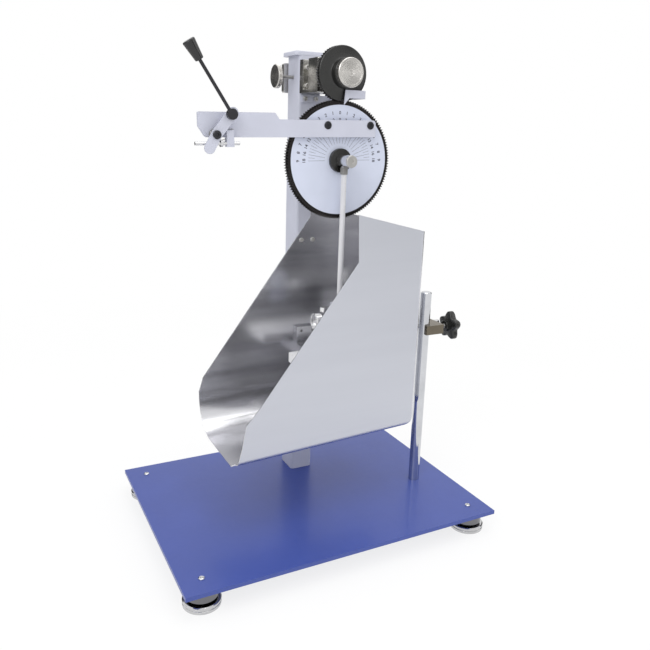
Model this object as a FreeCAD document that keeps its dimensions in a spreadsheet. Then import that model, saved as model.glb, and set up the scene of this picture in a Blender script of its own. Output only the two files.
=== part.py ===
import FreeCAD, Part
import math
import os

import Sketcher

# Pendulum impact tester for bottles: a steel base on levelling feet, a square column,
# a toothed dial with a release arm, a free pendulum hammer, a bent sheet guard with a
# bottle platform inside, and a post with an adjustable back stop.
# Millimetres. X to the right, Y to the back, Z up. The origin is on the floor, under
# the middle of the base plate.

V = FreeCAD.Vector
doc = FreeCAD.newDocument("impact_tester")
sheet = doc.addObject("Spreadsheet::Sheet", "Sizes")

SIZES = [
    # clearances
    ("fit_gap", 0.05, "radial clearance of a shaft or screw in its bore"),
    ("seat_gap", 0.3, "gap between faces that turn past each other"),
    ("cut_past", 5, "how far a cutting shape reaches past the piece"),
    # base
    ("plate_width", 500, "base plate, left to right"),
    ("plate_depth", 370, "base plate, front to back"),
    ("plate_thick", 6, "base plate thickness"),
    ("foot_height", 30, "floor to the underside of the plate"),
    ("foot_inset", 30, "foot centre in from each plate edge"),
    ("foot_radius", 24.5, "upper foot body"),
    ("pad_radius", 25, "turning pad under each foot"),
    ("pad_height", 10, "height of the pad"),
    ("foot_groove", 3, "groove between pad and foot body"),
    ("stud_radius", 8, "stud of the pad"),
    ("foot_screw_radius", 3, "screw that holds a foot to the plate"),
    ("foot_screw_head", 4.2, "head radius of that screw"),
    # column
    ("column_x", 31.5, "column and dial axis right of the plate middle"),
    ("column_width", 38, "column, left to right"),
    ("column_depth", 44, "column, front to back"),
    ("column_front", 72, "front face of the column behind the plate middle"),
    ("column_wall", 3, "wall of the column tube"),
    ("column_corner", 5, "outside corner radius of the tube"),
    ("column_rise", 31.25, "pinion axis to the top of the tube"),
    ("cap_thick", 2, "lid on top of the column"),
    ("anchor_height", 20, "block inside the foot of the column"),
    ("anchor_screw_radius", 4, "screws from below into the block and the post"),
    ("base_head_radius", 6.5, "head radius of a screw from below"),
    ("base_head_height", 6, "head height of a screw from below"),
    ("base_thread", 14, "how far a screw from below goes in above the plate"),
    ("base_bore_spare", 2, "bore of the post beyond its screw"),
    ("anchor_pitch", 18, "distance between those two screws"),
    # dial and gears
    ("hub_height", 570, "dial axis above the floor"),
    ("tooth_module", 1.25, "module of dial and pinion"),
    ("dial_teeth", 132, "teeth of the dial"),
    ("pinion_teeth", 58, "teeth of the pinion"),
    ("dial_front", -30, "front face of the dial rim"),
    ("gear_width", 10, "width of the dial rim and of the pinion"),
    ("dial_web", 5, "thickness of the dial web"),
    ("face_radius", 77, "white scale plate of the dial"),
    ("face_thick", 1, "thickness of the scale plate"),
    ("rim_inside", 74, "inside radius of the rim at the back"),
    ("boss_radius", 17, "black boss in front of the dial"),
    ("boss_height", 6, "how far the boss stands out"),
    ("barrel_radius", 12, "barrel of the boss through the dial"),
    ("dial_nut_radius", 20, "ring nut behind the dial"),
    ("dial_nut_thick", 8, "thickness of the ring nut"),
    ("spindle_radius", 5, "spindle of the dial"),
    ("journal_radius", 4, "front journal for the pendulum"),
    ("end_screw_head", 6, "head radius of the screw in the spindle end"),
    ("end_screw_thick", 2.4, "head of that screw"),
    ("housing_radius", 17, "barrel of the spindle housing"),
    ("housing_height", 60, "flange of the spindle housing"),
    ("housing_flange", 12, "thickness of that flange"),
    ("flange_screw_radius", 2, "small flange screws"),
    ("flange_screw_head", 3.5, "head radius of a small flange screw"),
    ("flange_head_height", 4, "head height of a small flange screw"),
    ("flange_head_flat", 2.2, "flat head of a small flange screw"),
    ("rear_head_height", 2.5, "head height of the screws behind the column"),
    ("screw_past", 2, "how far small screws stand out inside the column"),
    ("housing_pitch_x", 24, "flange screws, left to right"),
    ("housing_pitch_z", 46, "flange screws, up and down"),
    ("spindle_nut_radius", 9, "nut on the spindle behind the column"),
    ("spindle_nut_thick", 8, "thickness of that nut"),
    # pinion
    ("bracket_width", 36, "bearing bracket, left to right"),
    ("bracket_height", 48, "bearing bracket, up and down"),
    ("bracket_reach", 60, "bearing bracket in front of the column"),
    ("bracket_flange", 12, "rear flange of the bracket"),
    ("bracket_gap", 18, "open gap of the bracket"),
    ("bracket_web", 5, "bottom web of the bracket"),
    ("bracket_pitch_x", 24, "bracket screws, left to right"),
    ("bracket_pitch_z", 26, "bracket screws, up and down"),
    ("shaft_radius", 4.5, "pinion shaft"),
    ("rear_plate_width", 50, "bearing plate behind the column"),
    ("rear_plate_height", 44, "bearing plate behind the column"),
    ("rear_plate_thick", 8, "bearing plate behind the column"),
    ("rear_pitch_x", 22, "rear plate screws, left to right"),
    ("rear_pitch_z", 34, "rear plate screws, up and down"),
    ("shaft_collar_radius", 9, "collar at the back end of the shaft"),
    ("shaft_collar_thick", 9, "collar at the back end of the shaft"),
    ("bush_radius", 9.5, "spacer between bracket and pinion"),
    ("wheel_radius", 34, "hand wheel at its back"),
    ("wheel_neck", 20.5, "hand wheel at its neck"),
    ("wheel_flange", 3.2, "thickness of the wheel at its rim"),
    ("wheel_length", 18, "hand wheel, front to back"),
    ("knurl_radius", 20, "knurled disc in front"),
    ("knurl_thick", 8, "knurled disc in front"),
    # lock knob
    ("lock_disc_radius", 17.5, "lock knob disc"),
    ("lock_disc_thick", 7, "lock knob disc"),
    ("lock_reach", 31, "outer face of the lock knob from the column"),
    ("lock_screw_radius", 2.75, "lock screw"),
    # arm
    ("arm_tilt", -1.5, "tilt of the dial at rest, left end low, degrees"),
    ("arm_gap", 4, "arm in front of the dial"),
    ("arm_thick", 5, "arm plate"),
    ("arm_low", 32.5, "lower edge of the arm above the hub"),
    ("arm_height", 23.5, "height of the narrow bar"),
    ("arm_right", 54, "right end of the arm"),
    ("arm_bend", 5, "corner of the arm that passes the pointer"),
    ("arm_left", 210, "left end of the arm"),
    ("arm_step", 97, "where the arm gets higher"),
    ("arm_rise", 8.5, "how much higher"),
    ("arm_screw_radius", 3, "arm screws"),
    ("arm_screw_head", 5.5, "head radius of an arm screw"),
    ("arm_head_height", 1.7, "head height of an arm screw"),
    ("arm_screw_left", -23.7, "left arm screw from the hub"),
    ("arm_screw_right", 45.1, "right arm screw from the hub"),
    ("arm_screw_up", 48.8, "arm screws above the hub"),
    ("spacer_radius", 7, "spacers between dial and arm"),
    # release latch
    ("pivot_left", 189.5, "latch pivot left of the hub"),
    ("pivot_up", 36, "latch pivot above the hub"),
    ("pivot_boss_radius", 6, "boss that carries the latch"),
    ("pivot_boss_length", 9, "length of that boss"),
    ("link_thick", 3, "latch link"),
    ("link_half", 7, "half the width of the latch link"),
    ("link_up_x", 23, "upper end of the link right of the pivot"),
    ("link_up_z", 27.5, "upper end of the link above the pivot"),
    ("link_down_x", 9.6, "lower end of the link left of the pivot"),
    ("link_down_z", 17, "lower end of the link below the pivot"),
    ("pin_radius", 2.4, "latch pin"),
    ("pin_up", 25, "latch pin above the hub"),
    ("pin_reach", 7, "how far the pin stands out of the arm"),
    ("pin_length", 60, "length of the latch pin"),
    ("pin_collar_radius", 4.5, "collar pushed by the link"),
    ("pin_collar_thick", 3, "collar pushed by the link"),
    ("pin_collar_from_tip", 33.5, "pin tip to the collar"),
    ("guide_width", 10, "guide block of the pin"),
    ("guide_drop", 12, "how far the guide hangs below the arm"),
    ("guide_grip", 9, "how far the guide lies on the arm"),
    ("guide_from_tip", 42, "pin tip to the guide block"),
    ("lever_lean", 32, "lean of the lever to the left, degrees"),
    ("lever_radius", 2.25, "lever rod"),
    ("lever_boss_radius", 7, "boss on the link for the lever"),
    ("lever_boss_length", 7, "boss on the link for the lever"),
    ("lever_start", 5, "rod start from the boss centre"),
    ("grip_start", 75, "grip start from the boss centre"),
    ("grip_length", 26, "length of the grip"),
    ("grip_small", 5.5, "grip radius at the rod"),
    ("grip_large", 8.5, "grip radius at the end"),
    ("spring_outside", 7.4, "outside radius of the spring coil"),
    ("spring_wire", 1, "spring wire"),
    ("spring_leg_x", 26, "spring leg, along the arm"),
    # pendulum
    ("pendulum_plane", -45, "pendulum rod in front of the plate middle"),
    ("pendulum_hub_radius", 8.75, "pendulum hub"),
    ("pendulum_hub_length", 28.4, "pendulum hub"),
    ("rod_radius", 4, "pendulum rod"),
    ("rod_nut_radius", 6, "lock nut under the hub"),
    ("rod_nut_height", 10, "lock nut under the hub"),
    ("rod_seat", 8, "how deep the rod goes into the hammer"),
    ("hammer_drop", 212, "hub axis to the top of the hammer"),
    ("hammer_width", 36, "hammer block"),
    ("hammer_depth", 20, "hammer block"),
    ("hammer_height", 44, "hammer block"),
    ("striker_drop", 234, "hub axis to the striker axis"),
    ("striker_radius", 6, "striker bar"),
    ("tail_radius", 13.5, "tail disc of the striker"),
    ("tail_thick", 10, "tail disc of the striker"),
    ("tail_gap", 13.5, "tail disc left of the hammer"),
    ("nose_radius", 11, "impact nose"),
    ("nose_length", 12, "impact nose"),
    ("nose_gap", 10.5, "impact nose right of the hammer"),
    ("striker_nut_radius", 9, "nut of the striker"),
    ("striker_nut_thick", 5, "nut of the striker"),
    ("eye_radius", 6.5, "catch eye"),
    ("eye_hole", 3.5, "hole of the catch eye"),
    ("eye_height", 7, "catch eye"),
    ("eye_reach", 25, "eye centre left of the rod"),
    ("eye_shank", 2.5, "shank of the catch eye"),
    # guard
    ("sheet_thick", 1.5, "guard sheet"),
    ("guard_front", 85, "front face of the guard before the plate middle"),
    ("guard_right", 154, "right wall of the guard"),
    ("guard_left_front", 144, "left edge of the guard at the front"),
    ("guard_left_back", 151.5, "left edge of the guard at the back"),
    ("guard_drop", 424, "hub axis to the bottom of the guard at its front left corner"),
    ("guard_slope", 2.7, "rise of the bottom to the right, degrees"),
    ("guard_bend_back", 55, "bend of the bottom at the back"),
    ("guard_bend_front", 8, "bend of the bottom at the front"),
    ("guard_bend_side", 25, "bend between bottom and right wall"),
    ("guard_head", 72, "hub axis to the top left corner of the guard"),
    ("guard_top_fall", 13.4, "fall of the top edge, degrees"),
    ("guard_neck", 36.5, "top left corner of the guard right of the plate middle"),
    ("guard_screw_low", 68, "bottom of the guard to the lower guard screws"),
    ("guard_screw_high", 58, "top left corner of the guard to the upper guard screws"),
    ("guard_pitch", 20, "guard screws, left to right"),
    # bottle platform
    ("platform_left", -21, "left edge of the platform"),
    ("platform_width", 141, "platform, left to right"),
    ("platform_front", -60, "front edge of the platform"),
    ("platform_depth", 80, "platform, front to back"),
    ("platform_thick", 15, "platform"),
    ("platform_gap", 43, "platform below the hanging hammer"),
    ("tongue_thick", 6, "tongue under the platform"),
    ("tongue_reach", 60, "tongue under the platform"),
    ("platform_flange", 8, "flange of the platform bracket"),
    ("holder_width", 36, "platform bracket, left to right"),
    ("holder_drop", 34, "flange of that bracket below the platform"),
    ("holder_rise", 26, "flange of that bracket above the platform"),
    ("holder_lip", 3, "platform above the tongue behind it"),
    ("holder_row_low", 26, "lower screws of the bracket below the platform"),
    ("holder_row_high", 19, "upper screws of the bracket above the platform"),
    # post and back stop
    ("post_inset", 58.5, "post in from the right edge of the plate"),
    ("post_y", -43, "post in front of the plate middle"),
    ("post_radius", 9, "post"),
    ("post_rise", 61, "post above the middle of the clamp"),
    ("post_chamfer", 1.5, "chamfer of the post"),
    ("clamp_rise", 34, "middle of the clamp above the platform"),
    ("clamp_side", 4.5, "left face of the clamp left of the post axis"),
    ("clamp_width", 43, "clamp, left to right"),
    ("clamp_front", -58, "front face of the clamp"),
    ("clamp_depth", 48, "clamp, front to back"),
    ("clamp_thick", 15, "clamp, up and down"),
    ("stop_rod_radius", 5, "back stop rod"),
    ("stop_rod_y", -20, "back stop rod in front of the plate middle"),
    ("stop_rod_in", 8, "back stop rod inside the guard"),
    ("stop_rod_out", 49, "left face of the clamp to the right end of the rod"),
    ("slot_down", 19, "slot in the guard below the middle of the clamp"),
    ("slot_up", 57, "slot in the guard above the middle of the clamp"),
    ("slot_half", 6.5, "half the width of that slot"),
    ("vee_width", 24, "back stop block, left to right"),
    ("vee_depth", 50, "back stop block, front to back"),
    ("vee_height", 44, "back stop block, up and down"),
    ("vee_cut", 12, "depth of the V"),
    ("knob_radius", 24, "star knob"),
    ("knob_waist", 17, "star knob between its lobes"),
    ("knob_lobe", 7, "lobe radius of the star knob"),
    ("knob_thick", 12, "star knob"),
    ("knob_neck_radius", 9, "neck of the star knob"),
    ("knob_stand", 8, "star knob right of the clamp"),
    ("knob_screw_radius", 4, "screw of the star knob"),
    # pointer
    ("strip_thick", 2, "pointer strip"),
    ("strip_up", 86, "hub axis to the lower edge of the pointer strip"),
    ("strip_height", 11, "height of the pointer strip"),
    ("strip_side", 67, "right face of the pointer strip"),
    ("pointer_front", -37, "front face of the pointer"),
    ("pointer_foot_drop", 4, "foot of the strip below its side"),
]


class Formula:
    """A number of the model together with the formula that ties it to the sheet."""

    def __init__(self, value, formula):
        self.value = float(value)
        self.formula = formula

    def join(self, other, sign, value):
        return Formula(value, "(%s %s %s)" % (self.formula, sign, written(other)))

    def __add__(self, other):
        return self.join(other, "+", self.value + number(other))

    def __sub__(self, other):
        return self.join(other, "-", self.value - number(other))

    def __mul__(self, other):
        return self.join(other, "*", self.value * number(other))

    def __truediv__(self, other):
        return self.join(other, "/", self.value / number(other))

    def __neg__(self):
        return Formula(-self.value, "(0 - %s)" % self.formula)

    def __radd__(self, other):
        return as_formula(other) + self

    def __rsub__(self, other):
        return as_formula(other) - self

    def __rmul__(self, other):
        return as_formula(other) * self

    def __rtruediv__(self, other):
        return as_formula(other) / self


def number(q):
    return q.value if isinstance(q, Formula) else float(q)


def written(q):
    return q.formula if isinstance(q, Formula) else "%.9g" % q


def as_formula(q):
    return q if isinstance(q, Formula) else Formula(q, "(%s)" % written(q))


def sine(q):
    return Formula(math.sin(math.radians(number(q))), "sin(%s)" % written(q))


def cosine(q):
    return Formula(math.cos(math.radians(number(q))), "cos(%s)" % written(q))


def tangent(q):
    return Formula(math.tan(math.radians(number(q))), "tan(%s)" % written(q))


class Sheet:
    """Every size by its alias."""


S = Sheet()
for row, (alias, amount, note) in enumerate(SIZES, start=1):
    sheet.set("A%d" % row, note)
    sheet.set("B%d" % row, str(amount))
    sheet.setAlias("B%d" % row, alias)
    setattr(S, alias, Formula(amount, "Sizes." + alias))
doc.recompute()


def bind(obj, prop, q):
    """Tie a property to the sheet."""
    obj.setExpression(prop, written(q))


# sketch plane, sketch normal along the axis, pad reversed, pocket reversed
PLANES = {"Z": ("XY_Plane", 1, False, True), "Y": ("XZ_Plane", -1, True, False),
          "X": ("YZ_Plane", 1, False, True)}


def new_body(label):
    body = doc.addObject("PartDesign::Body", label)
    body.Label = label
    return body


def new_sketch(body, name, axis, offset=0):
    """A sketch square to an axis, at an offset along it."""
    role, sign = PLANES[axis][0], PLANES[axis][1]
    sketch = body.newObject("Sketcher::SketchObject", name)
    plane = [f for f in body.Origin.OriginFeatures if f.Role == role][0]
    sketch.AttachmentSupport = [(plane, "")]
    sketch.MapMode = "FlatFace"
    bind(sketch, "AttachmentOffset.Base.z", as_formula(offset) * sign)
    return sketch


def fix_point(sketch, geo, pos, x, y):
    """Tie one point of a sketch to its two coordinates."""
    for kind, q in (("DistanceX", x), ("DistanceY", y)):
        if not isinstance(q, Formula) and q == 0:
            axis = -2 if kind == "DistanceX" else -1
            sketch.addConstraint(Sketcher.Constraint("PointOnObject", geo, pos, axis))
            continue
        at = sketch.addConstraint(Sketcher.Constraint(kind, -1, 1, geo, pos, number(q)))
        if isinstance(q, Formula):
            bind(sketch, "Constraints[%d]" % at, q)


def draw_circle(sketch, x, y, radius):
    geo = sketch.addGeometry(Part.Circle(V(number(x), number(y), 0), V(0, 0, 1), number(radius)))
    fix_point(sketch, geo, 3, x, y)
    at = sketch.addConstraint(Sketcher.Constraint("Radius", geo, number(radius)))
    bind(sketch, "Constraints[%d]" % at, radius)


def draw_outline(sketch, corners):
    """A closed outline through corners (x, y) or (x, y, bend radius)."""
    points = [V(number(c[0]), number(c[1]), 0) for c in corners]
    count = len(corners)
    starts, ends = [], []
    for i in range(count):
        before, here, after = points[i - 1], points[i], points[(i + 1) % count]
        if len(corners[i]) < 3:
            starts.append(here)
            ends.append(here)
            continue
        to_before, to_after = (before - here).normalize(), (after - here).normalize()
        half = to_before.getAngle(to_after) / 2
        back = number(corners[i][2]) / math.tan(half)
        starts.append(here + to_before * back)
        ends.append(here + to_after * back)
    lines = []
    for i in range(count):
        lines.append(sketch.addGeometry(Part.LineSegment(ends[i], starts[(i + 1) % count])))
    for i in range(count):
        into, out = lines[i - 1], lines[i]
        if len(corners[i]) < 3:
            sketch.addConstraint(Sketcher.Constraint("Coincident", into, 2, out, 1))
            fix_point(sketch, out, 1, corners[i][0], corners[i][1])
            continue
        radius = corners[i][2]
        here, first, last = points[i], starts[i], ends[i]
        inward = ((first - here) + (last - here)).normalize()
        half = (first - here).getAngle(last - here) / 2
        centre = here + inward * (number(radius) / math.sin(half))
        middle = centre - inward * number(radius)
        arc = Part.Arc(first, middle, last)
        turn = (first - centre).cross(last - centre).z
        bend = sketch.addGeometry(arc)
        one, two = (1, 2) if turn > 0 else (2, 1)
        sketch.addConstraint(Sketcher.Constraint("Tangent", bend, one, into, 2))
        sketch.addConstraint(Sketcher.Constraint("Tangent", bend, two, out, 1))
        at = sketch.addConstraint(Sketcher.Constraint("Radius", bend, number(radius)))
        bind(sketch, "Constraints[%d]" % at, radius)
        corner = sketch.addGeometry(Part.Point(here), True)
        sketch.addConstraint(Sketcher.Constraint("PointOnObject", corner, 1, into))
        sketch.addConstraint(Sketcher.Constraint("PointOnObject", corner, 1, out))
        fix_point(sketch, corner, 1, corners[i][0], corners[i][1])


def box_corners(x0, x1, y0, y1, bend=None):
    corners = [(x0, y0), (x1, y0), (x1, y1), (x0, y1)]
    return [c + (bend,) for c in corners] if bend is not None else corners


def draw(sketch, shapes):
    """Outlines are lists of corners, circles are (x, y, radius)."""
    for shape in shapes:
        if isinstance(shape, list):
            draw_outline(sketch, shape)
        else:
            draw_circle(sketch, *shape)


def add(body, axis, shapes, start, length):
    """Pad shapes square to an axis, from start towards the positive side."""
    sketch = new_sketch(body, body.Label + "_profile", axis, start)
    draw(sketch, shapes)
    pad = body.newObject("PartDesign::Pad", body.Label + "_pad")
    pad.Profile = sketch
    pad.Reversed = PLANES[axis][2]
    bind(pad, "Length", length)
    return pad


def cut(body, axis, shapes, start, length):
    """Pocket shapes square to an axis, from start towards the positive side."""
    sketch = new_sketch(body, body.Label + "_cut", axis, start)
    draw(sketch, shapes)
    pocket = body.newObject("PartDesign::Pocket", body.Label + "_pocket")
    pocket.Profile = sketch
    pocket.Reversed = PLANES[axis][3]
    bind(pocket, "Length", length)
    cuts.append((body, pocket))
    return pocket


cuts = []


def prism(label, axis, shapes, start, length):
    body = new_body(label)
    add(body, axis, shapes, start, length)
    return body


def turned(label, axis, corners):
    """A turned piece; corners are (radius, place along the axis) or with a bend radius."""
    body = new_body(label)
    spin(body, axis, corners)
    return body


def spin(body, axis, corners):
    swap = axis == "X"
    plane = "Y" if axis == "Z" else "Z"
    sketch = new_sketch(body, body.Label + "_section", plane)
    flat = [((c[1], c[0]) if swap else (c[0], c[1])) + tuple(c[2:]) for c in corners]
    draw_outline(sketch, flat)
    turn = body.newObject("PartDesign::Revolution", body.Label + "_turn")
    turn.Profile = sketch
    turn.ReferenceAxis = (sketch, ["H_Axis" if swap else "V_Axis"])
    turn.Angle = 360
    return turn


def bush(label, axis, radius, bore, start, length):
    """A round piece with a bore, or a plain round bar when the bore is None."""
    shapes = [(0, 0, radius)]
    if bore is not None:
        shapes.append((0, 0, bore))
    return prism(label, axis, shapes, start, length)


def place(obj, x=0, y=0, z=0, axis=None, angle=None):
    if axis is not None:
        obj.Placement = FreeCAD.Placement(V(0, 0, 0), FreeCAD.Rotation(axis, number(angle)))
        bind(obj, "Placement.Rotation.Angle", as_formula(angle) * Formula(1, "1 deg"))
    for prop, q in (("x", x), ("y", y), ("z", z)):
        bind(obj, "Placement.Base." + prop, q)


def screw_rods(label, axis, spots, seat, head_radius, head_height, shank_radius, shank_length,
               head_side=-1):
    """Alike screws along an axis: heads on one side of the seat, shanks on the other."""
    turn = {"Z": None, "Y": (V(1, 0, 0), -90), "X": (V(0, 1, 0), 90)}[axis]
    pieces = []
    for spot in spots:
        for radius, length, side in ((head_radius, head_height, head_side),
                                     (shank_radius, shank_length, -head_side)):
            rod = doc.addObject("Part::Cylinder", label + "_rod")
            bind(rod, "Radius", radius)
            bind(rod, "Height", length)
            low = seat if side > 0 else as_formula(seat) - length
            if turn:
                rod.Placement = FreeCAD.Placement(V(0, 0, 0), FreeCAD.Rotation(*turn))
            order = {"X": "xyz", "Y": "yxz", "Z": "zxy"}[axis]
            bind(rod, "Placement.Base." + order[0], low)
            bind(rod, "Placement.Base." + order[1], spot[0])
            bind(rod, "Placement.Base." + order[2], spot[1])
            pieces.append(rod)
    return pieces


def fused(label, pieces):
    """One node of several pieces; those that touch become one solid."""
    fuse = doc.addObject("Part::MultiFuse", label)
    fuse.Label = label
    fuse.Shapes = pieces
    fuse.Refine = False
    return fuse


def grid(x, y, pitch_x, pitch_y):
    return [(x + pitch_x * a / 2, y + pitch_y * b / 2) for a in (-1, 1) for b in (-1, 1)]


# shared places
column_x = S.column_x
plate_low = S.foot_height
plate_top = S.foot_height + S.plate_thick
column_back = S.column_front + S.column_depth
pitch_radius_dial = S.tooth_module * S.dial_teeth / 2
pitch_radius_pinion = S.tooth_module * S.pinion_teeth / 2
pinion_height = S.hub_height + pitch_radius_dial + pitch_radius_pinion
column_top = pinion_height + S.column_rise
dial_back = S.dial_front + S.gear_width
strip_low = S.hub_height + S.strip_up
pointer_tip = S.hub_height + S.face_radius
platform_top = S.hub_height - S.hammer_drop - S.hammer_height - S.platform_gap
platform_low = platform_top - S.platform_thick
guard_low = S.hub_height - S.guard_drop
guard_top = S.hub_height - S.guard_head
post_x = S.plate_width / 2 - S.post_inset
clamp_height = platform_top + S.clamp_rise
clamp_left = post_x - S.clamp_side
post_length = clamp_height + S.post_rise - plate_top
stop_rod_left = S.guard_right - S.stop_rod_in
stop_rod_right = clamp_left + S.stop_rod_out
slot_low = clamp_height - S.slot_down
slot_high = clamp_height + S.slot_up
bracket_front = S.column_front - S.bracket_reach
bracket_low = pinion_height - S.bracket_height / 2
hub_front = S.dial_front - S.boss_height
arm_back = S.dial_front - S.arm_gap
arm_front = arm_back - S.arm_thick
foot_spots = grid(0, 0, S.plate_width - S.foot_inset * 2, S.plate_depth - S.foot_inset * 2)
corner_names = ["front_left", "back_left", "front_right", "back_right"]
anchor_spots = [(column_x, S.column_front + S.column_depth / 2 + S.anchor_pitch * k / 2) for k in (-1, 1)]
bracket_spots = grid(column_x, pinion_height, S.bracket_pitch_x, S.bracket_pitch_z)
rear_spots = grid(column_x, pinion_height, S.rear_pitch_x, S.rear_pitch_z)
housing_spots = grid(column_x, S.hub_height, S.housing_pitch_x, S.housing_pitch_z)
guard_rows = (guard_low + S.guard_screw_low, guard_top - S.guard_screw_high)
guard_spots = [(column_x + S.guard_pitch * k / 2, h) for h in guard_rows for k in (-1, 1)]
column_middle = S.column_front + S.column_depth / 2


def with_radius(spots, radius):
    return [(x, y, radius) for x, y in spots]


def in_arm(x, z):
    """Model X and Z of a point given in the tilted frame of dial and arm."""
    tilted_x = column_x + x * cosine(S.arm_tilt) + z * sine(S.arm_tilt)
    tilted_z = S.hub_height + z * cosine(S.arm_tilt) - x * sine(S.arm_tilt)
    return tilted_x, tilted_z


def on_dial(obj, x=0, z=0, lean=0):
    """Place a piece in the tilted frame of dial and arm."""
    at_x, at_z = in_arm(as_formula(x), as_formula(z))
    place(obj, at_x, 0, at_z, V(0, 1, 0), S.arm_tilt + lean)


# base plate, with the column and the post screwed on from below
plate = prism("base_plate", "Z", [box_corners(-S.plate_width / 2, S.plate_width / 2, -S.plate_depth / 2,
                                              S.plate_depth / 2)], plate_low, S.plate_thick)
plate_holes = with_radius(foot_spots, S.foot_screw_radius + S.fit_gap)
plate_holes += with_radius(anchor_spots, S.anchor_screw_radius + S.fit_gap)
plate_holes += [(post_x, S.post_y, S.anchor_screw_radius + S.fit_gap)]
cut(plate, "Z", plate_holes, plate_low, S.plate_thick)

# four feet: a fixed body with a levelling pad that turns in it
body_low = S.pad_height + S.foot_groove
body_height = S.foot_height - body_low
feet = []
for name, (x, y) in zip(corner_names, foot_spots):
    foot = turned("foot_" + name, "Z", [
        (S.stud_radius + S.fit_gap, body_low), (S.foot_radius, body_low),
        (S.foot_radius, S.foot_height, 1.5),
        (0, S.foot_height), (0, S.foot_height - 3), (S.stud_radius + S.fit_gap, S.foot_height - 3)])
    place(foot, x, y, 0)
    feet.append(foot)
    pad = turned("foot_pad_" + name, "Z", [
        (0, 0), (S.pad_radius, 0, 1), (S.pad_radius, S.pad_height, 1), (S.stud_radius + 6, S.pad_height),
        (S.stud_radius + 6, body_low - S.seat_gap), (S.stud_radius, body_low - S.seat_gap),
        (S.stud_radius, S.foot_height - 4), (0, S.foot_height - 4)])
    place(pad, x, y, 0)
fused("foot_bodies", feet)
fused("foot_screws", screw_rods("foot_screw", "Z", foot_spots, plate_top, S.foot_screw_head, 2.5,
                                S.foot_screw_radius, S.plate_thick, head_side=1))

# column: a square tube with a lid and a block inside its foot
half_width = S.column_width / 2
wall = S.column_wall
inner_bend = S.column_corner - wall
column = prism("column", "Z", [
    box_corners(column_x - half_width, column_x + half_width, S.column_front, column_back, S.column_corner),
    box_corners(column_x - half_width + wall, column_x + half_width - wall, S.column_front + wall,
                column_back - wall, inner_bend)],
    plate_top, column_top - plate_top)
front_holes = with_radius(bracket_spots + housing_spots + guard_spots, S.flange_screw_radius + S.fit_gap)
cut(column, "Y", front_holes, S.column_front, wall)
cut(column, "Y", with_radius(rear_spots, S.flange_screw_radius + S.fit_gap), column_back - wall, wall)
cut(column, "Y", [(column_x, pinion_height, S.shaft_radius + 2.5),
                  (column_x, S.hub_height, S.spindle_radius + S.fit_gap)],
    S.column_front, S.column_depth)
cut(column, "X", [(column_middle, pinion_height, S.lock_screw_radius + S.fit_gap)], column_x - half_width,
    wall)
cap = prism("column_cap", "Z", [
    box_corners(column_x - half_width, column_x + half_width, S.column_front, column_back,
                S.column_corner)],
    column_top, S.cap_thick)
plug_in = wall + S.fit_gap * 2
add(cap, "Z", [box_corners(column_x - half_width + plug_in, column_x + half_width - plug_in,
                           S.column_front + plug_in, column_back - plug_in, inner_bend)],
    column_top - 8, 8)
anchor = prism("column_anchor", "Z", [
    box_corners(column_x - half_width + plug_in, column_x + half_width - plug_in,
                S.column_front + plug_in, column_back - plug_in, inner_bend)]
    + with_radius(anchor_spots, S.anchor_screw_radius + S.fit_gap), plate_top, S.anchor_height)
base_shank = S.plate_thick + S.base_thread
base_rods = screw_rods("base_screw", "Z", anchor_spots, plate_low, S.base_head_radius, S.base_head_height,
                       S.anchor_screw_radius, base_shank)

# bearing bracket of the pinion: a block with an open gap over a bottom web
flange_back = S.column_front
bracket = prism("bearing_bracket", "X", [[
    (bracket_front, bracket_low, 2), (flange_back, bracket_low),
    (flange_back, bracket_low + S.bracket_height),
    (flange_back - S.bracket_flange, bracket_low + S.bracket_height),
    (flange_back - S.bracket_flange, bracket_low + S.bracket_web, 2),
    (flange_back - S.bracket_flange - S.bracket_gap, bracket_low + S.bracket_web, 2),
    (flange_back - S.bracket_flange - S.bracket_gap, bracket_low + S.bracket_height),
    (bracket_front, bracket_low + S.bracket_height, 2)]],
    column_x - S.bracket_width / 2, S.bracket_width)
cut(bracket, "Y", [(column_x, pinion_height, S.shaft_radius + S.fit_gap)], bracket_front, S.bracket_reach)
cut(bracket, "Y", with_radius(bracket_spots, S.flange_screw_radius + S.fit_gap),
    flange_back - S.bracket_flange, S.bracket_flange)
flange_rods = screw_rods("flange_screw", "Y", bracket_spots, flange_back - S.bracket_flange,
                         S.flange_screw_head, S.flange_head_height,
       S.flange_screw_radius, S.bracket_flange + wall + S.screw_past)
rear = prism("rear_bearing_plate", "Y", [
    box_corners(column_x - S.rear_plate_width / 2, column_x + S.rear_plate_width / 2,
                pinion_height - S.rear_plate_height / 2, pinion_height + S.rear_plate_height / 2, 3),
    (column_x, pinion_height, S.shaft_radius + S.fit_gap)] + with_radius(rear_spots,
        S.flange_screw_radius + S.fit_gap),
    column_back, S.rear_plate_thick)
rear_face = column_back + S.rear_plate_thick
flange_rods += screw_rods("flange_screw", "Y", rear_spots, rear_face, S.flange_screw_head,
                          S.rear_head_height,
                          S.flange_screw_radius, S.rear_plate_thick + wall + S.screw_past / 2, head_side=1)

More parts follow.
